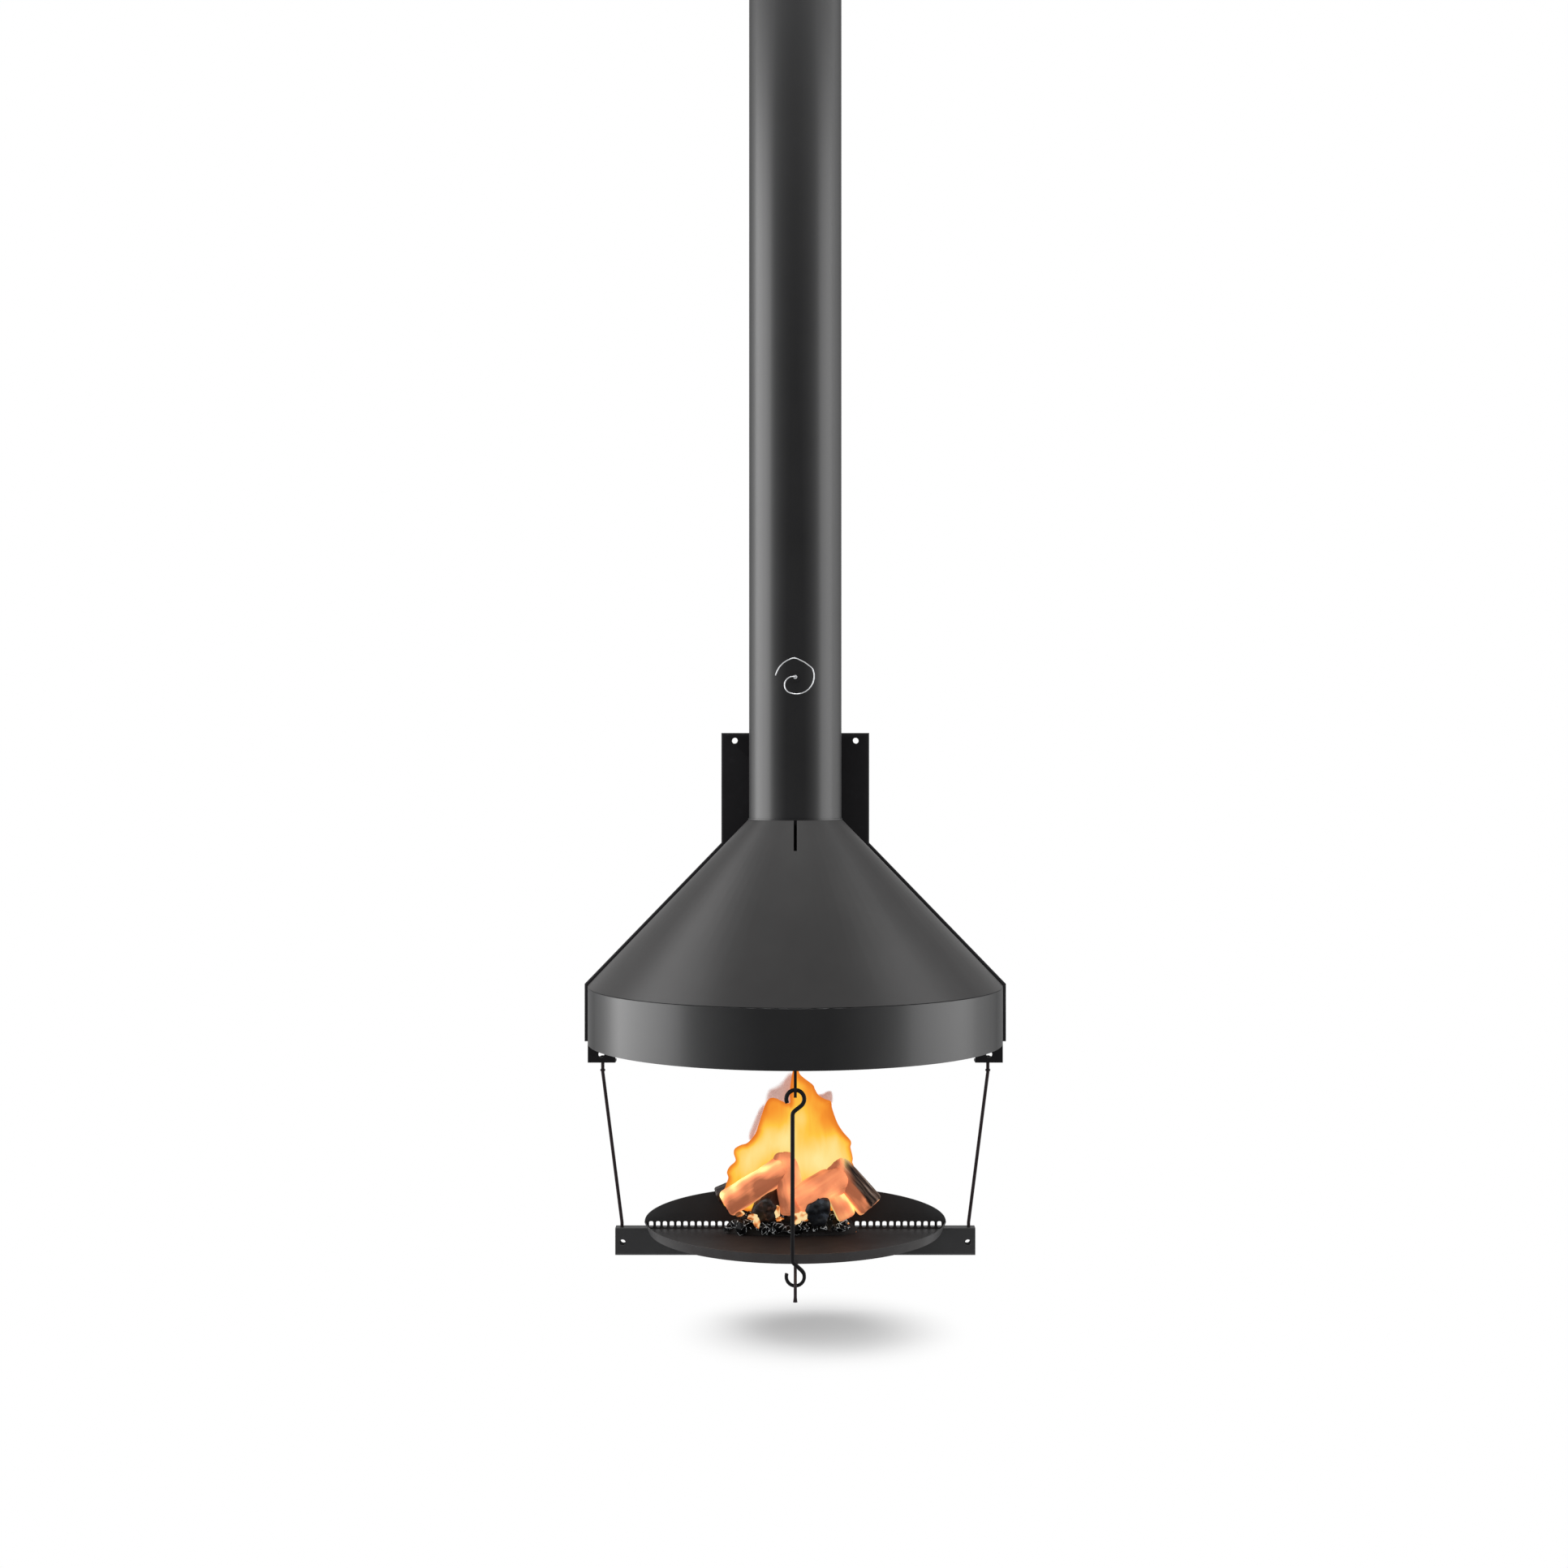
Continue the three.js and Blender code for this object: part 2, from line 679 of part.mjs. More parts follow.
// The arm under the pan: a bar through the rail, with its end turned down.
function hearthArm() {
  const back = plateFace + sheet + gap + armNut + 1.5;
  const panFront = -panRadius - 6;
  const eyeStart = hangerY + armFlat;
  const slopeRun = panFront - eyeStart;
  const slope = Math.atan2(armDrop, slopeRun);
  const moves = [
    { run: back - panFront },
    { radius: 60, turn: slope * 180 / Math.PI },
    { run: Math.hypot(slopeRun, armDrop) - 120 * Math.tan(slope / 2) },
    { radius: 60, turn: -slope * 180 / Math.PI },
    { run: 2 * armFlat },
    { radius: armBend, turn: 84 },
    { run: armTail - armBend },
  ];
  // Drawn with u running into the room, so a turn to the left bends the bar down.
  const flat = bentWire([-back, 0], 0, moves.map((move) => (
    move.turn === undefined ? move : { radius: move.radius, turn: -move.turn })));
  const places = flat.map((place) => new THREE.Vector3(0, -place.x, armZ + place.y));
  const end = places[places.length - 1];
  const flare = new THREE.CylinderGeometry(armRadius - 0.4, armRadius + armFlare, 12, 16);
  flare.rotateX(Math.PI / 2);
  flare.translate(end.x, end.y, end.z + 4);
  return shape(join(solid(wire(places, armRadius, 12)), solid(flare)));
}

// The height between an eye's centre and the end of its neck, and the neck's slanting run.
function neckSizes(neck) {
  const angle = radians(neck.angle);
  const inward = eyeRadius * Math.cos(angle) + shankOffset - neck.radius * (1 - Math.cos(angle));
  const run = inward / Math.sin(angle);
  const height = (eyeRadius + neck.radius) * Math.sin(angle) + run * Math.cos(angle);
  return { run, height };
}

// The front rod: one wire with an open eye at each end, the upper one over the hook.
function frontRod() {
  const upper = neckSizes(upperNeck);
  const lower = neckSizes(lowerNeck);
  const shank = upperEyeZ - lowerEyeZ - upper.height - lower.height;
  const angle = radians(upperTip);
  const start = [eyeRadius * Math.cos(angle), upperEyeZ + eyeRadius * Math.sin(angle)];
  const moves = [
    { radius: eyeRadius, turn: -(upperTip + upperNeck.angle) },
    { run: upper.run },
    { radius: upperNeck.radius, turn: upperNeck.angle },
    { run: shank },
    { radius: lowerNeck.radius, turn: lowerNeck.angle },
    { run: lower.run },
    { radius: eyeRadius, turn: -(360 - lowerTip + lowerNeck.angle) },
  ];
  const flat = bentWire(start, upperTip - 90, moves);
  const places = flat.map((place) => new THREE.Vector3(place.x, hangerY, place.y));
  return wire(places, hangerRadius, 12);
}

// ---------------------------------------------------------------- the damper

const flueFront = -flueAxis - flueRadius;
const flueBack = -flueAxis + flueRadius;
const spindleFrontEnd = flueFront - spindleFront;
const spindleBackEnd = flueBack + spindleBack;

function damperSpindle() {
  const bar = barY(spindleRadius, 0, spindleZ, spindleFrontEnd, spindleBackEnd);
  const reach = flueBore - discClearance + 1;
  const flat = box(-gap, spindleRadius + 1, -flueAxis - reach, -flueAxis + reach,
    spindleZ - spindleRadius - 1, spindleZ + spindleRadius + 1);
  const socket = barY(handleWire + gap, 0, spindleZ, spindleFrontEnd - 1, spindleFrontEnd + handleSocket);
  const screws = [-1, 1].map((side) => alongX(discScrewRadius + gap, -spindleRadius - 1, 1,
    -flueAxis + side * discScrewSpacing / 2));
  return shape(cut(bar, flat, socket, ...screws));
}

// A bar along X through the spindle's line.
function alongX(radius, x0, x1, y, sides = 16) {
  const geometry = new THREE.CylinderGeometry(radius, radius, x1 - x0, sides);
  geometry.rotateZ(Math.PI / 2);
  geometry.translate((x0 + x1) / 2, y, spindleZ);
  return solid(geometry);
}

function damperDisc() {
  const radius = flueBore - discClearance;
  const outline = new THREE.Shape();
  outline.absarc(-flueAxis, spindleZ, radius, 0, 2 * Math.PI, false);
  for (const side of [-1, 1]) {
    outline.holes.push(roundHole(discScrewRadius + gap, -flueAxis + side * discScrewSpacing / 2, spindleZ));
    outline.holes.push(roundHole(discVentRadius, -flueAxis, spindleZ + side * radius / 2));
  }
  const options = { depth: discThickness, bevelEnabled: false, curveSegments: 24 };
  const geometry = new THREE.ExtrudeGeometry(outline, options);
  geometry.rotateX(Math.PI / 2);
  geometry.rotateZ(Math.PI / 2);
  return geometry;
}

function damperScrew(side) {
  const y = -flueAxis + side * discScrewSpacing / 2;
  const shank = alongX(discScrewRadius, -spindleRadius, discThickness + gap + 1, y);
  const head = alongX(discScrewHead, discThickness + gap, discThickness + gap + 3, y);
  return shape(join(shank, head));
}

// A flanged bush in the flue's wall; its own +Z points out of the flue.
function damperBush() {
  const bore = spindleRadius + gap;
  const body = bore + bushWall;
  const flange = body + bushFlange;
  return turned([
    [bore, -bushDepth],
    [body, -bushDepth],
    [body, gap],
    [flange, gap],
    [flange, gap + bushFlangeThickness],
    [bore, gap + bushFlangeThickness],
    [bore, -bushDepth],
  ], 24);
}

function damperCollar() {
  const bore = spindleRadius + gap;
  return ring(bore, bore + collarWall, 0, collarWidth, 24);
}

// The spiral handle: a wire from the spindle's socket, turned into a flat open spiral.
function handlePlaces() {
  const plane = spindleFrontEnd - handleReach;
  const heading = new THREE.Vector2(Math.cos(radians(handleStart)), Math.sin(radians(handleStart)));
  const places = [new THREE.Vector3(0, spindleFrontEnd + handleSocket - gap, spindleZ)];
  const bendSteps = 5;
  for (let step = 0; step < bendSteps; step += 1) {
    const angle = Math.PI / 2 * step / bendSteps;
    const out = handleBend * (1 - Math.cos(angle));
    const forward = plane + handleBend * (1 - Math.sin(angle));
    places.push(new THREE.Vector3(heading.x * out, forward, spindleZ + heading.y * out));
  }
  const start = heading.clone().multiplyScalar(handleBend);
  for (const place of bentWire([start.x, start.y], handleStart, handleArcs)) {
    places.push(new THREE.Vector3(place.x, plane, spindleZ + place.y));
  }
  return places;
}

function damperHandle() {
  const places = handlePlaces();
  console.log(`damper_handle least gap to itself ${leastGap(places, handleWire).toFixed(1)} mm`);
  return wire(places, handleWire, 8);
}

// ---------------------------------------------------------------- the hearth pan

// The floor is cut to the lip's inner lean, so its edge follows the lip all round.
const lipLean = panFlare / panLip;
const lipInnerFoot = panRadius - panFlare - panWall;

function panFloorPlate() {
  const foot = lipInnerFoot - gap;
  const profile = [
    [0, lipFoot],
    [foot, lipFoot],
    [foot + lipLean * panFloor, floorTop],
    [0, floorTop],
  ];
  return shape(roomSide(solid(turned(profile)), panBack));
}

function panLipStrip() {
  const profile = [
    [lipInnerFoot, lipFoot],
    [panRadius - panFlare, lipFoot],
    [panRadius, panRim],
    [panRadius - panWall, panRim],
    [lipInnerFoot, lipFoot],
  ];
  return shape(roomSide(solid(turned(profile)), panBack));
}

// The outline of one air slot, with round corners.
function roundedSlot(x, z) {
  const across = slotWidth / 2 - slotRound;
  const up = slotHeight / 2 - slotRound;
  const outline = new THREE.Shape();
  outline.absarc(x + across, z + up, slotRound, 0, Math.PI / 2, false);
  outline.absarc(x - across, z + up, slotRound, Math.PI / 2, Math.PI, false);
  outline.absarc(x - across, z - up, slotRound, Math.PI, 1.5 * Math.PI, false);
  outline.absarc(x + across, z - up, slotRound, 1.5 * Math.PI, 2 * Math.PI, false);
  return outline;
}

// The arched plate at the back of the pan, with a row of air slots in its foot.
function panUpstand() {
  const half = upstandHalf;
  const outline = new THREE.Shape();
  outline.moveTo(upstandFootHalf, lipFoot);
  outline.lineTo(half, panRim);
  outline.absellipse(0, panRim, half, upstandRise, 0, Math.PI, false);
  outline.lineTo(-upstandFootHalf, lipFoot);
  outline.closePath();
  const slotRow = 2 * upstandFootHalf + slotEdge;
  const slotCount = Math.floor((slotRow - slotWidth) / slotPitch) + 1;
  const slots = [];
  for (let index = 0; index < slotCount; index += 1) {
    const middle = (index - (slotCount - 1) / 2) * slotPitch;
    const slot = roundedSlot(middle, panRim - slotHeight / 2);
    slots.push(upright(slot, hoodBack + 5, sheet + 10, [], { curveSegments: 1 }));
  }
  return shape(cut(upright(outline, hoodBack, sheet, [], { curveSegments: 36 }), ...slots));
}

// A hook behind the upstand that drops through the rail's top flange.
function panHook(side) {
  const front = hoodBack + gap;
  const rest = railTop + gap;
  const outline = [
    [front, rest],
    [panHookLegY - sheet / 2, rest],
    [panHookLegY - sheet / 2, railTop - panHookDrop],
    [panHookLegY + sheet / 2, railTop - panHookDrop],
    [panHookLegY + sheet / 2, rest + sheet],
    [front + sheet, rest + sheet],
    [front + sheet, rest + panHookLeg],
    [front, rest + panHookLeg],
  ];
  return shape(crosswise(outline, side * panHookX, panHookWidth));
}

// ---------------------------------------------------------------- the fire's fuel

// Logs run from one end to the other: x, distance from the wall and height above the
// pan's floor. The sides list the log's outline radii in turn, as shares of its radius.
const splitSides = [1, 0.97, 1, 0.78, 0.62, 0.8, 0.98, 1.02];
const roundSides = [1, 0.96, 1.02, 0.95, 1, 0.97, 1.03, 0.96, 1.01];
const fuel = [
  { name: 'log_back', from: [-172, 57, 76], to: [-60, 58, 124], radius: 21, sides: roundSides },
  { name: 'log_left', from: [-152, 100, 72], to: [-26, 88, 150], radius: 32, sides: splitSides },
  { name: 'log_middle', from: [-2, 110, 62], to: [-18, 76, 172], radius: 27, sides: splitSides },
  { name: 'log_right', from: [88, 84, 156], to: [167, 106, 68], radius: 32, sides: splitSides },
  { name: 'log_slab', from: [4, 114, 84], to: [100, 92, 130], radius: 32, sides: splitSides },
  { name: 'log_kindling', from: [88, 104, 96], to: [114, 112, 44], radius: 20, sides: splitSides },
  { name: 'log_charred_left', from: [-68, 128, 58], to: [-56, 74, 72], radius: 28, sides: splitSides },
  { name: 'log_charred_right', from: [46, 126, 56], to: [38, 74, 70], radius: 26, sides: splitSides },
];

// One log, grown by a clearance when it is used as a cutting tool.
function logBody(piece, growth = 0) {
  const [from, to] = [piece.from, piece.to].map(([x, depth, height]) => (
    new THREE.Vector3(x, -depth, floorTop + height)));
  const length = from.distanceTo(to);
  const direction = to.clone().sub(from).normalize();
  const corners = piece.sides.map((share, index) => {
    const angle = 2 * Math.PI * (index + 0.3) / piece.sides.length;
    const reach = piece.radius * share + growth;
    return [reach * Math.cos(angle), reach * Math.sin(angle)];
  });
  const round = Math.min(3, piece.radius / 6);
  const geometry = new THREE.ExtrudeGeometry(polygon(corners), {
    depth: length - 2 * round + 2 * growth,
    bevelSegments: 1,
    bevelThickness: round,
    bevelSize: round,
    bevelOffset: -round,
  });
  geometry.translate(0, 0, round - growth);
  geometry.applyQuaternion(new THREE.Quaternion().setFromUnitVectors(new THREE.Vector3(0, 0, 1), direction));
  geometry.translate(from.x, from.y, from.z);
  return solid(geometry);
}

const fuelClearance = 0.8;
const fuelFloor = floorTop + gap;
const heapCentre = { x: -6, depth: 72 };
const heapHalf = { width: 146, depth: 36, height: 44 };
const emberCount = 34;
const emberSize = 9;

// Keeps the largest solid when a cut leaves crumbs.
function mainPiece(body) {
  const pieces = body.decompose();
  return pieces.reduce((best, piece) => (piece.volume() > best.volume() ? piece : best));
}

// Glowing charcoal: lumps of several sizes over a low heap of ash.
function emberBed() {
  const heap = new THREE.IcosahedronGeometry(1, 2);
  heap.scale(heapHalf.width, heapHalf.depth, heapHalf.height);
  heap.translate(heapCentre.x, -heapCentre.depth, fuelFloor);
  let body = solid(heap);
  for (let index = 0; index < emberCount; index += 1) {
    const angle = index * 2.39996;
    const share = Math.sqrt((index + 0.5) / emberCount);
    const size = emberSize * (1 + 0.5 * Math.sin(index * 1.7) ** 2);
    const lump = new THREE.IcosahedronGeometry(size, 0);
    lump.scale(1.25, 0.9, 0.85);
    lump.rotateZ(angle * 1.3);
    lump.rotateX(0.4 * Math.sin(index));
    const rise = heapHalf.height * Math.sqrt(1 - Math.min(share, 0.97) ** 2);
    lump.translate(
      heapCentre.x + heapHalf.width * share * Math.cos(angle),
      -heapCentre.depth + heapHalf.depth * 0.9 * share * Math.sin(angle),
      fuelFloor + rise,
    );
    body = body.add(solid(lump));
  }
  const reach = 1000;
  const under = box(-reach, reach, -reach, reach, fuelFloor - reach, fuelFloor);
  const behind = box(-reach, reach, panBack, reach, fuelFloor - reach, reach);
  return cut(body, under, behind);
}

// ---------------------------------------------------------------- putting it together

add('flue_pipe', fluePipe(), steel);
add('flue_spigot', flueSpigot(), sootSteel);
add('hood_crown', hoodCrown(), steel);
add('hood_cone', hoodCone(), steel);
add('hood_band', hoodBand(), steel);
add('hood_back_plate', hoodBackPlate(), sootSteel);
add('hood_hook', hoodHook(), sootSteel);

for (const [name, side] of [['left', -1], ['right', 1]]) {
  add(`${name}_bracket`, bracket(side), sootSteel);
  bracketBoltDrops.forEach((drop, index) => {
    const place = index === 0 ? 'upper' : 'lower';
    const z = bracketTop - drop;
    const front = hoodBack - bracketThickness - gap;
    const back = plateFace + sheet + gap;
    const length = back + nutHeight + 2 - front;
    const head = hexagon(acrossFlats, 0, boltHead);
    const shank = new THREE.CylinderGeometry(boltRadius, boltRadius, length, 16);
    shank.rotateX(Math.PI / 2);
    shank.translate(0, 0, 0.5 - length / 2);
    const bolt = shape(join(solid(head), solid(shank)));
    const x = side * bracketScrewX;
    addAlongY(`${name}_bracket_bolt_${place}`, bolt, sootSteel, x, front, z);
    const nut = hexagon(acrossFlats, -nutHeight, 0, boltRadius + gap);
    addAlongY(`${name}_bracket_nut_${place}`, nut, sootSteel, x, back, z);
  });

  add(`${name}_rod`, sideRod(side), tintedSteel);
  const shelfTop = bracketFoot + bracketThickness + gap;
  const bore = rodRadius + gap;
  const upperNut = add(`${name}_rod_nut_upper`, hexagon(acrossFlats, 0, nutHeight, bore), sootSteel);
  upperNut.position.set(side * rodTopX, -rodDepth, shelfTop);
  const lowerNut = add(`${name}_rod_nut_lower`, hexagon(acrossFlats, -nutHeight, 0, bore), sootSteel);
  lowerNut.position.set(side * rodFootX, -rodDepth, railTop - sheet - gap);
  const ferrule = ring(bore, bore + ferruleWall, 0, ferruleHeight, 20);
  const ferrulePiece = add(`${name}_rod_ferrule`, ferrule, tintedSteel);
  ferrulePiece.position.set(side * rodTopX, -rodDepth, bracketFoot - rodKinkDrop + 2);
}

add('hearth_rail', hearthRail(), hearthSteel);
add('hearth_arm', hearthArm(), tintedSteel);
addAlongY('arm_nut_inner', hexagon(acrossFlats - 2, -armNut, 0, armRadius + gap), sootSteel,
  0, plateFace + sheet + 2 * gap, armZ);

add('damper_spindle', damperSpindle(), brightSteel);
add('damper_disc', damperDisc(), sootSteel);
add('damper_screw_front', damperScrew(-1), brightSteel);
add('damper_screw_rear', damperScrew(1), brightSteel);
add('damper_handle', damperHandle(), brightSteel);
addAlongY('damper_bush_front', damperBush(), steel, 0, flueFront, spindleZ);
const rearBush = add('damper_bush_rear', damperBush(), steel);
rearBush.rotation.x = -Math.PI / 2;
rearBush.position.set(0, flueBack, spindleZ);
const collar = add('damper_collar', damperCollar(), brightSteel);
collar.rotation.x = -Math.PI / 2;
collar.position.set(0, flueBack + gap + bushFlangeThickness + gap, spindleZ);

add('front_rod', frontRod(), sootSteel);

add('pan_floor', panFloorPlate(), hearthSteel);
add('pan_lip', panLipStrip(), hearthSteel);
add('pan_upstand', panUpstand(), hearthSteel);
add('pan_hook_left', panHook(-1), hearthSteel);
add('pan_hook_right', panHook(1), hearthSteel);

let filled = null;
for (const piece of fuel) {
  const whole = logBody(piece);
  const body = filled === null ? whole : mainPiece(cut(whole, filled));
  const grown = logBody(piece, fuelClearance);
  filled = filled === null ? grown : filled.add(grown);
  const burnt = piece.name.includes('charred') || piece.name === 'log_back';
  const finish = burnt ? charcoal : splitWood;
  add(piece.name, shape(body), piece.name === 'log_right' ? bark : finish);
}
add('ember_bed', shape(mainPiece(cut(emberBed(), filled))), charcoal);

export default group;
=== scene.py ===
"""Finishes, fire and studio for a wall-hung open fireplace, laid out as an add-on."""

import itertools
import math

import bpy
import numpy as np
from mathutils import Matrix, Vector, noise


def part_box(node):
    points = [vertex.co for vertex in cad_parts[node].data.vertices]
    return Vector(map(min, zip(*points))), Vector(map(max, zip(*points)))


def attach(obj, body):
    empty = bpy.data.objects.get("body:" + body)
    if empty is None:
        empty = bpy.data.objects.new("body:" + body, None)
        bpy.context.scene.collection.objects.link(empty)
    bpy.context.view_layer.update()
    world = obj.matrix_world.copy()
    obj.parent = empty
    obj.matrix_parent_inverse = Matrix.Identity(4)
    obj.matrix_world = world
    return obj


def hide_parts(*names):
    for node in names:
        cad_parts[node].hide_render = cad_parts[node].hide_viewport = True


bl_info = {
    "name": "Wall-hung Open Fireplace",
    "version": (1, 0, 0),
    "blender": (4, 5, 0),
    "location": "3D View > Sidebar > Fireplace",
    "description": "Finishes, logs, embers, flames and a studio for a wall-hung fireplace",
    "category": "Object",
}

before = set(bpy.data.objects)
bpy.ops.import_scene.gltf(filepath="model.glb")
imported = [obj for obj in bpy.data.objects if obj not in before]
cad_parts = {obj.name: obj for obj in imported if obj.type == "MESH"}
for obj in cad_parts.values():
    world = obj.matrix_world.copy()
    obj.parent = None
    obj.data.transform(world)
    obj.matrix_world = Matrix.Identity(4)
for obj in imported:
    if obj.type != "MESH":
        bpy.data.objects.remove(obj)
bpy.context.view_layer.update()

MM = 0.001

# The photograph in its own pixels: its width, and the fireplace's middle across it.
PHOTO_WIDTH = 1932
FIREPLACE_MIDDLE = 979.9

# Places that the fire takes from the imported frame, in metres.
UPSTAND_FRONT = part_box("pan_upstand")[0].y
PAN_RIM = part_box("pan_lip")[1].z
PAN_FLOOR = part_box("pan_floor")[1].z
# The middle of the fire stands this far in front of the upstand.
FIRE_REACH = 70 * MM

# Real sizes of the marks on split wood, in millimetres: one fibre bundle, one split facet
# and one patch that has burnt alike.
FIBRE, FACET, PATCH = 7, 24, 34
# Sizes of the small cubes that even out a mesh, in millimetres.
WOOD_VOXEL, GAS_VOXEL = 1.7, 2.0

# How much of the baked film shows on steel, by how far a face turns away: (slant, share).
FILM_ON_UPRIGHT_SHEET = [(0.02, 0.02), (0.18, 0.95), (0.48, 1.0), (0.66, 0.3), (0.76, 0.0)]
FILM_ON_SLANTING_SHEET = [(0.02, 0.02), (0.2, 0.46), (0.36, 0.36), (0.55, 0.06), (0.7, 0.0)]

# Outlines of flames and smoke in millimetres: x from the middle, and height above the
# pan's rim. The fire's two ragged sides are also those of the flames in front of it.
LEFT_SIDE = [
    (-153, 86), (-147, 104), (-150, 116), (-144, 128), (-131, 141),
    (-135, 157), (-133, 167), (-120, 175), (-105, 180), (-89, 198),
]
RIGHT_SIDE = [
    (78, 271), (81, 256), (92, 225), (105, 204), (122, 184),
    (121, 172), (126, 149), (125, 138), (129, 128),
]
WHOLE_FIRE = [
    (-6, 336), (-3, 354), (7, 354), (10, 331), (38, 308), (43, 298), (51, 285), (65, 276),
    *RIGHT_SIDE,
    (130, 112), (118, 73), (92, 42), (40, 22), (-60, 22), (-120, 35), (-156, 68),
    *LEFT_SIDE,
    (-81, 219), (-68, 259), (-60, 274), (-50, 280), (-34, 278), (-13, 268), (-12, 290),
    (-10, 316),
]
LEFT_FLAME = [
    (-160, 66), *LEFT_SIDE, (-78, 212), (-60, 214), (-40, 190), (-24, 140), (-30, 60),
    (-90, 36), (-150, 40),
]
MIDDLE_FLAME = [
    (-60, 60), (-44, 130), (-26, 200), (-12, 262), (-12, 290), (-10, 316), (-6, 336),
    (-1, 350), (6, 346), (10, 331), (30, 312), (36, 290), (34, 240), (44, 180), (70, 110),
    (60, 50), (0, 30),
]
RIGHT_FLAME = [
    (34, 60), (30, 160), (46, 232), (62, 262), *RIGHT_SIDE, (126, 100), (112, 50), (70, 32),
]
SMOKE_BESIDE_TONGUE = [
    (-14, 336), (-30, 318), (-46, 306), (-60, 298), (-66, 286), (-70, 268), (-84, 240),
    (-50, 240), (0, 250), (10, 290), (4, 330),
]
LEFT_WISP = [
    (-70, 266), (-80, 256), (-88, 240), (-97, 219), (-104, 200), (-103, 184), (-90, 186),
    (-78, 214), (-66, 250),
]
RIGHT_WISP = [
    (48, 286), (60, 289), (70, 294), (80, 294), (84, 284), (83, 266), (70, 262), (54, 270),
]
# Where the burning gas is hotter or cooler, in the same plane: x, height, reach and weight.
HOT_AND_COOL_PLACES = [
    (-86, 160, 30, 0.3), (-50, 188, 30, 0.16), (-112, 133, 26, 0.12), (-22, 200, 26, 0.34),
    (-34, 228, 20, -0.12), (8, 140, 28, 0.27), (55, 146, 28, 0.37), (96, 152, 26, 0.2),
    (78, 190, 22, 0.18), (100, 104, 28, 0.17), (76, 60, 26, 0.12), (16, 240, 20, 0.22),
    (-44, 268, 26, -0.25), (-72, 236, 20, -0.28), (-90, 196, 16, -0.4), (65, 254, 26, -0.32),
    (76, 222, 18, -0.14), (36, 306, 22, -0.28),
]
# Coals that glow, in millimetres: x from the middle, reach from the wall, height above the
# pan's floor, and size.
GLOWING_COALS = [
    (-120, 119, 51, 12), (-92, 130, 47, 13), (-83, 134, 36, 12),
    (-41, 128, 59, 14), (4, 132, 43, 10), (17, 132, 50, 13),
]
# Ripples in a body of gas: width and height in millimetres, share, and step in the seed.
RIPPLES = [(35, 70, 1.0, 0), (16, 35, 0.5, 5)]


# ---------------- colour and nodes


def linear(hex_colour):
    """An sRGB hex colour as linear red, green and blue."""
    channels = [int(hex_colour[place : place + 2], 16) / 255 for place in (1, 3, 5)]
    return tuple(
        level / 12.92 if level <= 0.04045 else ((level + 0.055) / 1.055) ** 2.4 for level in channels
    )


def shade(colour, factor):
    """A linear colour made lighter or darker."""
    return tuple(min(1, channel * factor) for channel in colour)


def per_metre(size_mm):
    """The texture scale at which one feature of a pattern is size_mm across."""
    return 1 / (size_mm * MM)


def add_node(tree, kind, inputs=None, output=0, stops=(), **settings):
    """Adds a shader node with its settings, fills or links its inputs, and gives one output.

    The stops of a colour ramp are each a position and a linear colour.
    """
    added = tree.nodes.new(f"ShaderNode{kind}")
    for name, value in settings.items():
        setattr(added, name, value)
    for name, value in (inputs or {}).items():
        if isinstance(value, bpy.types.NodeSocket):
            tree.links.new(value, added.inputs[name])
        else:
            added.inputs[name].default_value = value
    if stops:
        elements = added.color_ramp.elements
        while len(elements) < len(stops):
            elements.new(0.5)
        for element, (position, colour) in zip(elements, stops):
            element.position = position
            element.color = (*colour, 1)
    return added.outputs[output] if added.outputs else None


def new_material(name):
    """A named node material and its empty tree."""
    material = bpy.data.materials.new(name)
    material.use_nodes = True
    material.node_tree.nodes.clear()
    return material, material.node_tree


def finished(material, inputs):
    """The material with its shader, each of whose inputs is a link or a constant."""
    tree = material.node_tree
    shader = add_node(tree, "BsdfPrincipled", inputs)
    add_node(tree, "OutputMaterial", {"Surface": shader})
    return material


def patches(tree, size_mm, detail, stops, roughness=0.5):
    """A colour that changes in patches of a real size, from one stop to the next."""
    place = add_node(tree, "TexCoord", output="Object")
    cloud = add_node(
        tree,
        "TexNoise",
        {"Vector": place, "Scale": per_metre(size_mm), "Detail": detail, "Roughness": roughness},
    )
    return add_node(tree, "ValToRGB", {"Fac": cloud}, stops=stops)


def gritty(tree, grain_mm, detail, strength, depth_mm):
    """The normals of a gritty skin, from the size of its grains and their depth."""
    place = add_node(tree, "TexCoord", output="Object")
    grit = add_node(tree, "TexNoise", {"Vector": place, "Scale": per_metre(grain_mm), "Detail": detail})
    return add_node(tree, "Bump", {"Height": grit, "Strength": strength, "Distance": depth_mm * MM})


# ---------------- finishes of the steel


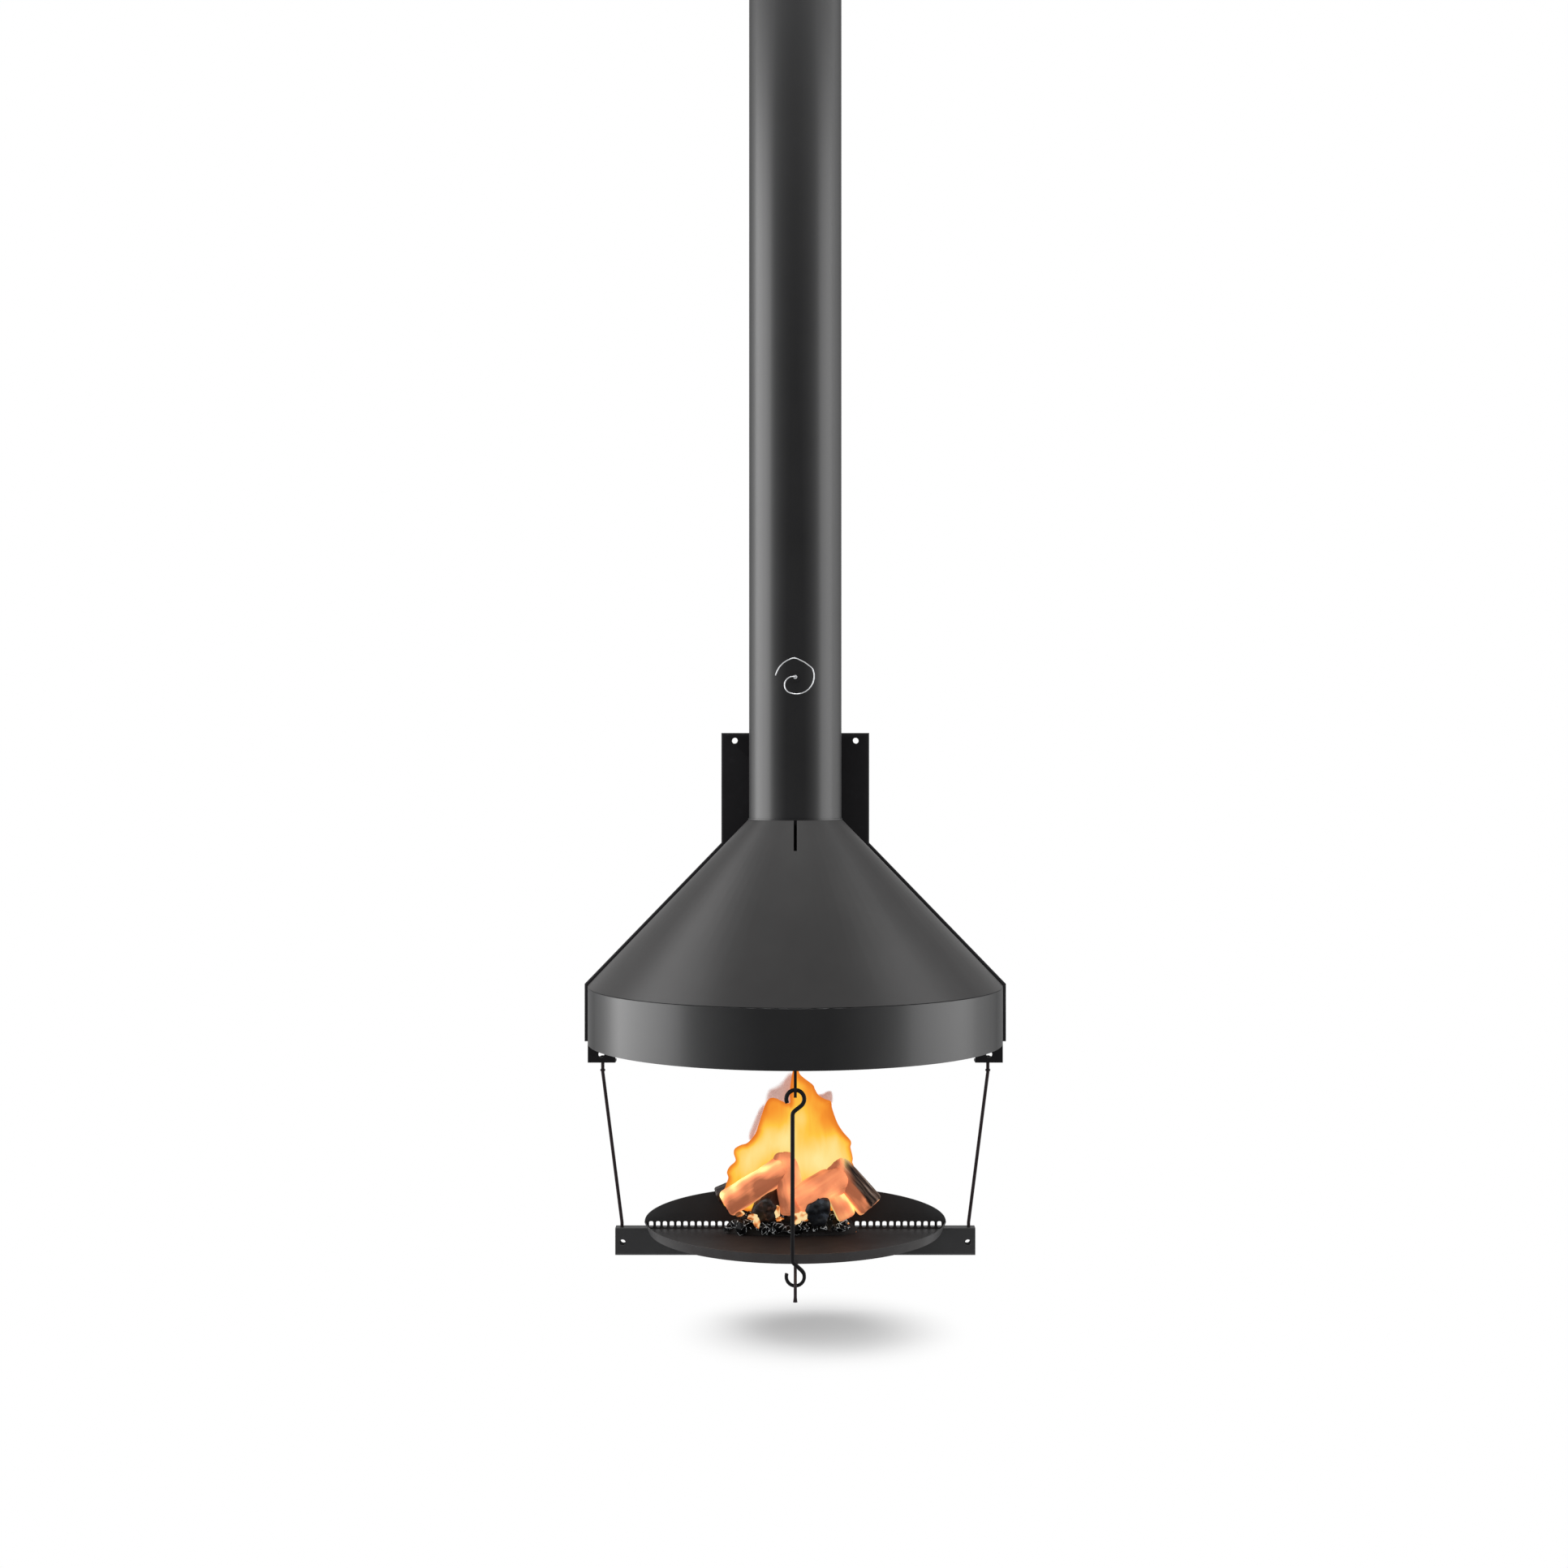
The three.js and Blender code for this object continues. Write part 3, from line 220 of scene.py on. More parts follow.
def stove_paint(name, colour, roughness, film_shares=FILM_ON_UPRIGHT_SHEET, soot=None):
    """Heat-resistant silicone paint, sprayed satin on sheet steel and baked.

    It looks near black and flat seen square on, with a soft gloss where it curves away,
    a faint orange peel, and slow clouds where the coat is thicker. Faces that look in at
    the fire can be sooted.
    """
    material, tree = new_material(name)
    place = add_node(tree, "TexCoord", output="Object")
    thin_and_thick = [(0.3, shade(colour, 0.85)), (0.7, shade(colour, 1.15))]
    tone = patches(tree, size_mm=160, detail=3.0, stops=thin_and_thick, roughness=0.55)
    # Real orange peel is about 1 mm across: it is drawn at 3 mm so that it shows.
    peel = add_node(tree, "TexNoise", {"Vector": place, "Scale": per_metre(3), "Detail": 2.0})
    gloss = add_node(
        tree, "MapRange", {"Value": peel, "To Min": roughness - 0.04, "To Max": roughness + 0.04}
    )
    film = add_node(
        tree,
        "ValToRGB",
        {"Fac": add_node(tree, "LayerWeight", output="Facing")},
        stops=[(slant, (share, share, share)) for slant, share in film_shares],
    )
    if soot is not None:
        inward = facing_the_fire(tree, place)
        tone = add_node(
            tree,
            "Mix",
            {"Factor": inward, "A": tone, "B": (*soot, 1)},
            output="Result",
            data_type="RGBA",
        )
        film = add_node(tree, "Math", {0: film, 1: inward}, operation="SUBTRACT", use_clamp=True)
    bump = add_node(tree, "Bump", {"Height": peel, "Strength": 0.05, "Distance": 0.1 * MM})
    return finished(
        material,
        {
            "Base Color": tone,
            "Roughness": gloss,
            "Specular IOR Level": 0.12,
            "Coat Weight": film,
            "Coat Roughness": 0.33,
            "Normal": bump,
        },
    )


def facing_the_fire(tree, place):
    """1 on the faces that look in at the fire, 0 on those that look out at the room."""
    outward = add_node(tree, "VectorMath", {0: place, 1: (1.0, 1.0, 0.0)}, operation="MULTIPLY")
    normal = add_node(tree, "NewGeometry", output="Normal")
    outlook = add_node(
        tree, "VectorMath", {0: outward, 1: normal}, output="Value", operation="DOT_PRODUCT"
    )
    return add_node(tree, "MapRange", {"Value": outlook, "From Min": 0.0, "From Max": -0.02})


def blackened_steel(name, colour, roughness):
    """Hot-rolled steel, oiled and blackened: matt, with paler scale in small patches."""
    material, tree = new_material(name)
    place = add_node(tree, "TexCoord", output="Object")
    scale = add_node(
        tree, "TexNoise", {"Vector": place, "Scale": per_metre(18), "Detail": 6.0, "Roughness": 0.65}
    )
    tone = add_node(
        tree,
        "ValToRGB",
        {"Fac": scale},
        stops=[(0.35, shade(colour, 0.75)), (0.6, colour), (0.75, shade(colour, 1.5))],
    )
    gloss = add_node(
        tree, "MapRange", {"Value": scale, "To Min": roughness - 0.08, "To Max": roughness + 0.08}
    )
    return finished(
        material,
        {
            "Base Color": tone,
            "Roughness": gloss,
            "Specular IOR Level": 0.1,
            "Normal": gritty(tree, grain_mm=1.5, detail=2.0, strength=0.15, depth_mm=0.1),
        },
    )


def drawn_steel(name, colour):
    """Bright drawn steel: a metal with fine drawing lines along its length."""
    material, tree = new_material(name)
    place = add_node(tree, "TexCoord", output="Object")
    drawn_out = add_node(tree, "Mapping", {"Vector": place, "Scale": (1.0, 0.08, 1.0)})
    lines = add_node(tree, "TexNoise", {"Vector": drawn_out, "Scale": per_metre(0.8), "Detail": 2.0})
    tone = add_node(tree, "ValToRGB", {"Fac": lines}, stops=[(0.3, shade(colour, 0.85)), (0.7, colour)])
    gloss = add_node(tree, "MapRange", {"Value": lines, "To Min": 0.2, "To Max": 0.34})
    return finished(material, {"Base Color": tone, "Metallic": 1.0, "Roughness": gloss})


def scorched_paint(name, colour, scorch, roughness, reach_mm):
    """Stove paint round a fire: grey and satin far away, brown and matt where it burns."""
    material, tree = new_material(name)
    place = add_node(tree, "TexCoord", output="Object")
    from_the_fire = add_node(
        tree,
        "VectorMath",
        {0: place, 1: (0, UPSTAND_FRONT - FIRE_REACH, PAN_FLOOR)},
        operation="SUBTRACT",
    )
    distance = add_node(tree, "VectorMath", {0: from_the_fire}, output="Value", operation="LENGTH")
    stains = add_node(
        tree, "TexNoise", {"Vector": place, "Scale": per_metre(45), "Detail": 5.0, "Roughness": 0.6}
    )
    ragged = add_node(tree, "Math", {0: stains, 1: 0.16, 2: distance}, operation="MULTIPLY_ADD")
    nearness = add_node(
        tree,
        "MapRange",
        {"Value": ragged, "From Min": 0.16, "From Max": reach_mm * MM, "To Min": 1.0, "To Max": 0.0},
    )
    tone = add_node(
        tree,
        "Mix",
        {"Factor": nearness, "A": (*colour, 1), "B": (*scorch, 1)},
        output="Result",
        data_type="RGBA",
    )
    gloss = add_node(
        tree, "MapRange", {"Value": nearness, "To Min": roughness, "To Max": roughness + 0.25}
    )
    return finished(
        material,
        {
            "Base Color": tone,
            "Roughness": gloss,
            "Specular IOR Level": 0.25,
            "Normal": gritty(tree, grain_mm=2.5, detail=3.0, strength=0.15, depth_mm=0.15),
        },
    )


def dress(names, material):
    """Gives CAD nodes a finish and smooth shading on their curved faces."""
    for name in names:
        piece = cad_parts[name]
        piece.data.materials.clear()
        piece.data.materials.append(material)
        piece.data.shade_smooth()
        piece.modifiers.new("Weld", "WELD").merge_threshold = 0.002 * MM
        piece.modifiers.new("Creases", "EDGE_SPLIT").split_angle = math.radians(30)


def thicken(name, coat, thickness_mm, clear_below=-math.inf):
    """Puts a coat on a wire, or thins it where the thickness is below zero.

    The coat ends at the height clear_below, under which the wire bears on another piece.
    """
    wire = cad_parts[name]
    coated = wire.vertex_groups.new(name=coat)
    heights = places_of(wire.data)[:, 2]
    coated.add(np.flatnonzero(heights > clear_below).tolist(), 1.0, "REPLACE")
    wire.modifiers.new("Joined facets", "WELD").merge_threshold = 0.01 * MM
    layer = wire.modifiers.new(coat, "DISPLACE")
    layer.vertex_group = coated.name
    layer.mid_level = 0
    layer.strength = thickness_mm * MM


# ---------------- finishes of the fire


def wood_grain(tree, stretch, size_mm, detail, roughness=0.5):
    """Streaks along a log, stretch times as long as wide, from the places its mesh stores."""
    log_place = add_node(tree, "Attribute", output="Vector", attribute_name="log_place")
    along = add_node(tree, "Mapping", {"Vector": log_place, "Scale": (1 / stretch, 1.0, 1.0)})
    return add_node(
        tree,
        "TexNoise",
        {"Vector": along, "Scale": per_metre(size_mm), "Detail": detail, "Roughness": roughness},
    )


def burning_wood(name, settings):
    """Split hardwood alight: it glows salmon, partly with its own glow and partly with painted
    light of the flames, brighter along its rims, with charring grain.

    The log's mesh stores how brightly each place glows, painted light and shade included, and
    where bark is left on it.
    """
    material, tree = new_material(name)
    streaks = wood_grain(tree, stretch=10, size_mm=9, detail=5.0, roughness=0.6)
    heat = add_node(tree, "Attribute", output="Fac", attribute_name="wood_glow_and_painted_light")
    charring = add_node(
        tree,
        "MapRange",
        {"Value": streaks, "From Min": 0.3, "From Max": 0.7, "To Min": -0.1, "To Max": 0.1},
    )
    level = add_node(tree, "Math", {0: heat, 1: charring}, operation="ADD")
    glow = add_node(
        tree,
        "ValToRGB",
        {"Fac": level},
        # The lowest stop shows painted shade as well as charred grain, and the upper stops show painted
        # highlights as well as the wood's own glow.
        stops=[
            (0.08, settings.log_shade),
            (0.42, settings.log_glow),
            (0.68, settings.log_highlight),
            (0.95, settings.flame_core),
        ],
    )
    furrows = add_node(
        tree,
        "ValToRGB",
        {"Fac": streaks},
        stops=[(0.4, linear("#1f1714")), (0.52, linear("#6a5448")), (0.62, linear("#b5a294"))],
    )
    bark = add_node(tree, "Attribute", output="Fac", attribute_name="bark_left")
    surface, light = (
        add_node(
            tree, "Mix", {"Factor": bark, "A": glow, "B": under_bark}, output="Result", data_type="RGBA"
        )
        for under_bark in (furrows, (0.0, 0.0, 0.0, 1.0))
    )
    bump = add_node(tree, "Bump", {"Height": streaks, "Strength": 0.5, "Distance": 1.2 * MM})
    return finished(
        material,
        {
            "Base Color": surface,
            # The emission is the wood's own glow together with painted light of the flames round it.
            "Emission Color": light,
            "Emission Strength": 0.72,
            "Roughness": 0.85,
            "Specular IOR Level": 0.15,
            "Normal": bump,
        },
    )


def charred_wood(name, colour, grain_and_painted_sheen_colour):
    """Hardwood burnt to charcoal: black, with pale streaks along the old grain that are its grain and a
    painted sheen.
    """
    material, tree = new_material(name)
    streaks = wood_grain(tree, stretch=5, size_mm=11, detail=4.0)
    tone = add_node(
        tree,
        "ValToRGB",
        {"Fac": streaks},
        # The pale stops are the grain with a painted sheen in it.
        stops=[(0.4, colour), (0.58, grain_and_painted_sheen_colour), (0.66, shade(grain_and_painted_sheen_colour, 3.5))],
    )
    bump = add_node(tree, "Bump", {"Height": streaks, "Strength": 0.5, "Distance": 1.5 * MM})
    return finished(
        material, {"Base Color": tone, "Roughness": 0.5, "Specular IOR Level": 0.35, "Normal": bump}
    )


def ember_ash(name, colour, glow_edge, glow_core):
    """The bed under the fire: black ash and charcoal dust, with glowing hollows."""
    material, tree = new_material(name)
    hollows = [(0.66, (0, 0, 0)), (0.69, glow_edge), (0.76, glow_core)]
    return finished(
        material,
        {
            "Base Color": (*colour, 1),
            "Emission Color": patches(tree, size_mm=24, detail=2.0, stops=hollows),
            "Emission Strength": 1.0,
            "Roughness": 0.9,
            "Normal": gritty(tree, grain_mm=4, detail=4.0, strength=0.6, depth_mm=1.0),
        },
    )


def charcoal_face(name, colour, paler):
    """A broken face of charcoal: glassy black with a faint blue-grey cloud."""
    material, tree = new_material(name)
    tone = patches(tree, size_mm=12, detail=3.0, stops=[(0.45, colour), (0.7, paler)])
    return finished(material, {"Base Color": tone, "Roughness": 0.45, "Specular IOR Level": 0.08})


def ash_edge_with_painted_glow(name, colour):
    """Worn edges of charcoal, where fine white ash has gathered in a thin line, with a painted glow."""
    material, tree = new_material(name)
    bare_and_ashy = [(0.47, shade(colour, 0.02)), (0.56, colour)]
    tone = patches(tree, size_mm=9, detail=2.0, stops=bare_and_ashy)
    return finished(
        material,
        # The emission is painted light on the ash.
        {"Base Color": tone, "Emission Color": tone, "Emission Strength": 0.35, "Roughness": 0.7},
    )


def glowing_coal(name, rim, heart):
    """Coals burning right through: pale peach, orange where they cool."""
    material, tree = new_material(name)
    cooling = [(0.38, shade(rim, 0.25)), (0.44, rim), (0.53, heart)]
    return finished(
        material,
        {
            "Base Color": (0.02, 0.015, 0.012, 1),
            "Emission Color": patches(tree, size_mm=20, detail=1.0, stops=cooling),
            "Emission Strength": 0.95,
            "Roughness": 0.9,
        },
    )


def flame_glow(name, settings):
    """Burning wood gas: it only gives light, deep orange at its cool edge, pale where hot.

    The flame's mesh stores how hot each place is.
    """
    material, tree = new_material(name)
    heat = add_node(tree, "Attribute", output="Fac", attribute_name="gas_heat")
    place = add_node(tree, "TexCoord", output="Object")
    upward = add_node(tree, "Mapping", {"Vector": place, "Scale": (1.0, 1.0, 0.3)})
    licks = add_node(
        tree, "TexNoise", {"Vector": upward, "Scale": per_metre(26), "Detail": 2.0, "Distortion": 0.5}
    )
    waver = add_node(tree, "MapRange", {"Value": licks, "To Min": -0.16, "To Max": 0.16})
    level = add_node(tree, "Math", {0: heat, 1: waver}, operation="ADD")
    tone = add_node(
        tree,
        "ValToRGB",
        {"Fac": level},
        stops=[
            (0.02, settings.flame_edge),
            (0.25, settings.flame_outer),
            (0.55, settings.flame_inner),
            (0.92, settings.flame_core),
        ],
    )
    return finished(
        material,
        {
            "Base Color": (0, 0, 0, 1),
            "Emission Color": tone,
            "Emission Strength": settings.flame_strength,
            "Specular IOR Level": 0.0,
            "Roughness": 1.0,
        },
    )


def thin_smoke(name, colour, density):
    """Wood smoke: a pale haze, thinner where its wisps part, with the fire's light on it painted in as a
    glow.
    """
    material, tree = new_material(name)
    fullness = add_node(tree, "Attribute", output="Fac", attribute_name="gas_cover")
    place = add_node(tree, "TexCoord", output="Object")
    wisps = add_node(tree, "TexNoise", {"Vector": place, "Scale": per_metre(30), "Detail": 1.0})
    thickness = add_node(tree, "Math", {0: fullness, 1: wisps}, operation="MULTIPLY")
    alpha = add_node(tree, "Math", {0: thickness, 1: density}, operation="MULTIPLY", use_clamp=True)
    return finished(
        material,
        {
            "Base Color": (*colour, 1),
            # The emission is painted light of the fire on the smoke.
            "Emission Color": (*colour, 1),
            "Emission Strength": 0.5,
            "Roughness": 1.0,
            "Specular IOR Level": 0.0,
            "Alpha": alpha,
        },
    )


# ---------------- meshes of the fire


def mesh_object(name, vertices, faces, material):
    """A smooth mesh object that rides on the pan."""
    mesh = bpy.data.meshes.new(name)
    mesh.from_pydata([tuple(v) for v in vertices], [], [tuple(f) for f in faces])
    mesh.materials.append(material)
    mesh.shade_smooth()
    made = bpy.data.objects.new(name, mesh)
    bpy.context.scene.collection.objects.link(made)
    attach(made, "pan")
    return made


def apply_modifiers(piece):
    """Bakes a piece's modifiers into its mesh."""
    depsgraph = bpy.context.evaluated_depsgraph_get()
    baked = bpy.data.meshes.new_from_object(piece.evaluated_get(depsgraph))
    piece.modifiers.clear()
    old = piece.data
    piece.data = baked
    bpy.data.meshes.remove(old)


def places_of(mesh):
    """A mesh's vertices as an array."""
    flat = np.empty(len(mesh.vertices) * 3)
    mesh.vertices.foreach_get("co", flat)
    return flat.reshape(-1, 3)


def log_axes(places):
    """The centre of a log and its three axes, the long one first."""
    centre = (places.min(0) + places.max(0)) / 2
    spread = np.cov((places - centre).T)
    _, axes = np.linalg.eigh(spread)
    return centre, axes[:, ::-1]


def even_out(piece, voxel_mm):
    """Adds a modifier that remakes a piece's mesh from small cubes."""
    remesh = piece.modifiers.new("Remesh", "REMESH")
    remesh.mode = "VOXEL"
    remesh.voxel_size = voxel_mm * MM


def baked_copy(name, material):
    """An even mesh of the space that a CAD node fills, ready to be roughened."""
    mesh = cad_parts[name].data.copy()
    mesh.name = f"{name}_burnt"
    mesh.materials.clear()
    mesh.materials.append(material)
    copy = bpy.data.objects.new(f"{name}_burnt", mesh)
    bpy.context.scene.collection.objects.link(copy)
    copy.modifiers.new("Weld", "WELD").merge_threshold = 0.01 * MM
    even_out(copy, WOOD_VOXEL)
    copy.modifiers.new("Soften", "SMOOTH").iterations = 3
    apply_modifiers(copy)
    return copy


def store(mesh, name, values):
    """Stores one number at each vertex, for a material to read."""
    layer = mesh.attributes.new(name, "FLOAT", "POINT")
    layer.data.foreach_set("value", np.asarray(values, dtype=np.float32))


def smoothstep(low, high, values):
    """0 below low, 1 above high, and an even rise between them."""
    share = np.clip((np.asarray(values) - low) / (high - low), 0, 1)
    return share * share * (3 - 2 * share)


def rough_log(
    name,
    material,
    swell_mm=0.0,
    chunk_mm=1.9,
    warmth=0.42,
    painted_shade=0.0,
    painted_flame_light=0.2,
    bark_side=None,
    grown=1.0,
    shift_mm=(0.0, 0.0, 0.0),
):
    """A log with split, fibrous faces, in the place of the CAD log that it replaces.

    It glows brightest along its upper edge, with painted light from the flames, and along its
    lower rim, with painted light from the embers; a band of painted shade lies below its
    middle. Bark is left where its faces look towards bark_side. A piece can be grown about
    its foot and shifted.
    """
    rough = baked_copy(name, material)
    mesh = rough.data
    places = places_of(mesh)
    centre, axes = log_axes(places)
    local = (places - centre) @ axes
    upward = np.array((0, 0, 1)) - axes[:, 0] * axes[2, 0]
    upward /= np.linalg.norm(upward)
    across = (places - centre) @ upward
    across /= np.abs(across).max()
    normals = np.array([tuple(v.normal) for v in mesh.vertices])
    wander = np.empty(len(places))
    moved = places.copy()
    for index, (along, side, up) in enumerate(local):
        fibre = noise.noise(Vector((along / 8, side, up)) / (FIBRE * MM))
        facet = noise.noise(Vector((along / 4, side, up)) / (FACET * MM) + Vector((0, 0, 7)))
        moved[index] += normals[index] * MM * (swell_mm + 1.1 * fibre + chunk_mm * facet)
        wander[index] = noise.noise(Vector(places[index]) / (PATCH * MM))
    foot = np.array((places[:, 0].mean(), places[:, 1].mean(), places[:, 2].min()))
    moved = foot + (moved - foot) * grown + np.array(shift_mm) * MM
    mesh.vertices.foreach_set("co", moved.ravel())
    # Painted light and shade in the glow of the wood: painted light of the flames along the top, painted
    # light of the embers along the lower rim, and a band of painted shade below the middle.
    upper = smoothstep(0.5, 1.05, across + 0.3 * wander)
    lower = smoothstep(-0.58, -0.8, across + 0.1 * wander)
    shaded = np.exp(-(((across + 0.3 + 0.5 * wander) / 0.5) ** 2))
    glow_with_painted_light = warmth - painted_shade * shaded + painted_flame_light * upper + 0.45 * lower + 0.45 * wander
    store(mesh, "wood_glow_and_painted_light", glow_with_painted_light)
    bark = np.zeros(len(places))
    if bark_side is not None:
        outlook = normals @ (np.array(bark_side) / np.linalg.norm(bark_side))
        end_share = (places[:, 0] - places[:, 0].min()) / np.ptp(places[:, 0])
        bark = smoothstep(0.12, 0.4, outlook + 0.5 * wander) * smoothstep(
            0.28, 0.5, end_share + 0.2 * wander
        )
    store(mesh, "bark_left", bark)
    grain_place = mesh.attributes.new("log_place", "FLOAT_VECTOR", "POINT")
    grain_place.data.foreach_set("vector", local.astype(np.float32).ravel())
    mesh.shade_smooth()
    mesh.update()
    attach(rough, "pan")
    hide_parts(name)


def smooth_outline(corners, steps=8):
    """A closed Catmull-Rom curve through the corners, with a few places to each corner."""
    count = len(corners)
    corners = np.array(corners, float)
    curve = []
    for index in range(count):
        before, here, after, beyond = (corners[(index + offset) % count] for offset in (-1, 0, 1, 2))
        for t in np.arange(steps) / steps:
            curve.append(
                0.5
                * (
                    2 * here
                    + (after - before) * t
                    + (2 * before - 5 * here + 4 * after - beyond) * t**2
                    + (3 * here - before - 3 * after + beyond) * t**3
                )
            )
    return np.array(curve)


def distance_to_outline(points, curve):
    """How far each point lies from the closed curve."""
    nearest = np.full(len(points), np.inf)
    for start, end in zip(curve, np.roll(curve, -1, axis=0)):
        along = end - start
        share = np.clip(((points - start) @ along) / max(along @ along, 1e-9), 0, 1)
        gap = np.linalg.norm(points - (start + share[:, None] * along), axis=1)
        nearest = np.minimum(nearest, gap)
    return nearest


def gas_heat_at(flat, edge):
    """How hot the burning gas is at places in the plane of the fire, from 0 to about 1.

    It depends on the place alone, so flames that overlap look like one fire.
    """
    drift = np.array(
        [[noise.noise(Vector((x / 48, shift, z / 90))) for shift in (11, 17)] for x, z in flat]
    )
    warped = flat + 9 * drift
    heat = np.full(len(flat), 0.5)
    for x, height, reach, weight in HOT_AND_COOL_PLACES:
        away = np.hypot(warped[:, 0] - x, 0.75 * (warped[:, 1] - height))
        heat += weight * np.exp(-((away / reach) ** 2))
    return heat * (0.2 + 0.8 * smoothstep(0, 13, edge + 5 * drift[:, 0]))


def gas_body(name, corners, depth, half_depth, material, lean=0, seed=0, soft_edge=13):
    """A closed body of gas: a thin slab in x and height, blown up front and back.

    Its middle stands depth in front of the wall, and lean further at its top. All sizes
    are in millimetres.
    """
    curve = smooth_outline(corners)
    count = len(curve)
    slab_half = 3.0
    vertices = [(x * MM, y * MM, z * MM) for y in (-slab_half, slab_half) for x, z in curve]
    faces = [tuple(range(count)), tuple(range(2 * count - 1, count - 1, -1))]
    for index in range(count):
        following = (index + 1) % count
        faces.append((index, index + count, following + count, following))
    gas = mesh_object(name, vertices, faces, material)
    gas.modifiers.new("Corners", "TRIANGULATE")
    even_out(gas, GAS_VOXEL)
    apply_modifiers(gas)
    mesh = gas.data
    places = places_of(mesh)
    flat = places[:, [0, 2]] / MM
    edge = distance_to_outline(flat, curve)
    fullness = np.sqrt(np.clip(edge / edge.max(), 0, 1))
    low, high = flat[:, 1].min(), flat[:, 1].max()
    rise = (flat[:, 1] - low) / (high - low)
    for index, (x, y, z) in enumerate(places):
        ripple = sum(
            share * noise.noise(Vector((x / (wide * MM), seed + step, z / (tall * MM))))
            for wide, tall, share, step in RIPPLES
        )
        swell = half_depth * fullness[index] * (1 + 0.35 * ripple)
        side = np.clip(y / (slab_half * MM), -1, 1)
        places[index, 1] = -(depth + lean * rise[index] - side * max(swell, 0.4)) * MM
    places[:, 2] += PAN_RIM
    mesh.vertices.foreach_set("co", places.ravel())
    whole = distance_to_outline(flat, smooth_outline(WHOLE_FIRE))
    store(mesh, "gas_heat", gas_heat_at(flat, whole))
    store(mesh, "gas_cover", smoothstep(0, soft_edge, edge))
    mesh.shade_smooth()
    mesh.update()


def charcoal_lump(centre, size, seed):
    """Vertices and faces of one broken lump of charcoal: an icosahedron knocked about."""
    golden = (1 + 5**0.5) / 2
    corners = []
    for a in (-1, 1):
        for b in (-golden, golden):
            corners += [(0, a, b), (a, b, 0), (b, 0, a)]
    reach = math.sqrt(1 + golden**2)
    corners, edge = np.array(corners) / reach, 2 / reach
    faces = []
    for i, j, k in itertools.combinations(range(len(corners)), 3):
        a, b, c = corners[[i, j, k]]
        if max(math.dist(a, b), math.dist(b, c), math.dist(c, a)) < edge * 1.01:
            outward = np.cross(b - a, c - a) @ a > 0
            faces.append((i, j, k) if outward else (i, k, j))
    chance = np.random.default_rng(seed)
    stretch = chance.uniform(0.55, 1.4, 3)
    broken = corners * (1 + chance.uniform(-0.22, 0.22, (12, 1))) * stretch
    turn = np.array(Matrix.Rotation(chance.uniform(0, math.tau), 3, "Z"))
    return broken @ turn.T * size + np.array(centre), faces


# ---------------- settings


def colour_of(name, description, hex_colour):
    """A colour that a user can change, and its default."""
    return bpy.props.FloatVectorProperty(
        name=name, description=description, default=linear(hex_colour), subtype="COLOR", min=0, max=1
    )


def power_of(name, description, watts):
    """The power of a lamp, and its default."""
    return bpy.props.FloatProperty(name=name, description=description, default=watts, unit="POWER")


class SteelSettings(bpy.types.PropertyGroup):
    """Colours of the steel pieces."""

    hood_paint: colour_of(
        "Hood and flue", "Colour of the stove paint on the hood and the flue", "#1b1b1c"
    )
    # The cone's paint is the hood's paint made lighter: painted light on its upward slope.
    cone_paint: colour_of(
        "Cone", "Colour of the same paint on the cone, dulled by heat and lighter with painted light on its upward slope", "#2a2929"
    )
    plate_paint: colour_of(
        "Blackened plates", "Colour of the back plate, brackets, hook and front rod", "#131214"
    )
    rod_oxide: colour_of("Rods", "Colour of the oxidised side rods and the arm", "#282022")
    hearth_paint: colour_of("Hearth", "Colour of the pan and the rail away from the fire", "#333334")
    scorch: colour_of("Scorched hearth", "Colour of the pan where the fire has burnt it", "#241a17")
    bright_wire: colour_of(
        "Damper steel", "Colour of the bright steel of the damper and its handle", "#c6c7c9"
    )
    paint_roughness: bpy.props.FloatProperty(
        name="Paint roughness",
        description="Roughness of the satin stove paint",
        default=0.5,
        min=0.1,
        max=0.9,
        subtype="FACTOR",
    )


class FireSettings(bpy.types.PropertyGroup):
    """Colours and strength of the fire."""

    # Log shade is also the colour of the painted shade on the logs, and log highlight that of their
    # painted highlights.
    log_shade: colour_of("Log shade", "Colour of a burning log in its painted shade and charring grain", "#9b5a3e")
    log_glow: colour_of("Log glow", "Main colour of a burning log", "#e88c5f")
    log_highlight: colour_of("Log highlight", "Colour of the hottest grain of a burning log and of its painted highlights", "#ffac70")
    flame_edge: colour_of("Flame edge", "Colour of the flames along their outline", "#e27426")
    flame_outer: colour_of("Outer flame", "Colour of the outer flame", "#fa9a33")
    flame_inner: colour_of("Inner flame", "Colour of the inner flame", "#ffc746")
    flame_core: colour_of("Flame core", "Colour of the hottest flame, just above the logs", "#ffe899")
    flame_strength: bpy.props.FloatProperty(
        name="Flame strength",
        description="Light given by the flames, where 1 shows their colour as it is set",
        default=1.0,
        min=0,
        soft_max=3,
    )
    charcoal_lumps: bpy.props.IntProperty(
        name="Charcoal lumps",
        description="How many loose lumps lie round the fire",
        default=30,
        min=0,
        max=200,
    )


class StudioSettings(bpy.types.PropertyGroup):
    """The camera and the light."""

    camera_distance: bpy.props.FloatProperty(
        name="Camera distance", description="From the wall to the camera", default=4.313, unit="LENGTH"
    )
    camera_height: bpy.props.FloatProperty(
        name="Camera height", description="Above the upper screw holes", default=-0.0963, unit="LENGTH"
    )
    focal_length: bpy.props.FloatProperty(
        name="Focal length",
        description="Focal length of the lens in millimetres, on a sensor 36 mm wide",
        default=44.35,
    )
    floor_height: bpy.props.FloatProperty(
        name="Floor height", description="Above the upper screw holes", default=-1.271, unit="LENGTH"
    )
    left_power: power_of("Left softbox", "Power of the softbox on the left", 80)
    right_power: power_of("Right softbox", "Power of the softbox on the right", 45)
    top_power: power_of("Top softbox", "Power of the softbox overhead", 60)


# ---------------- operators


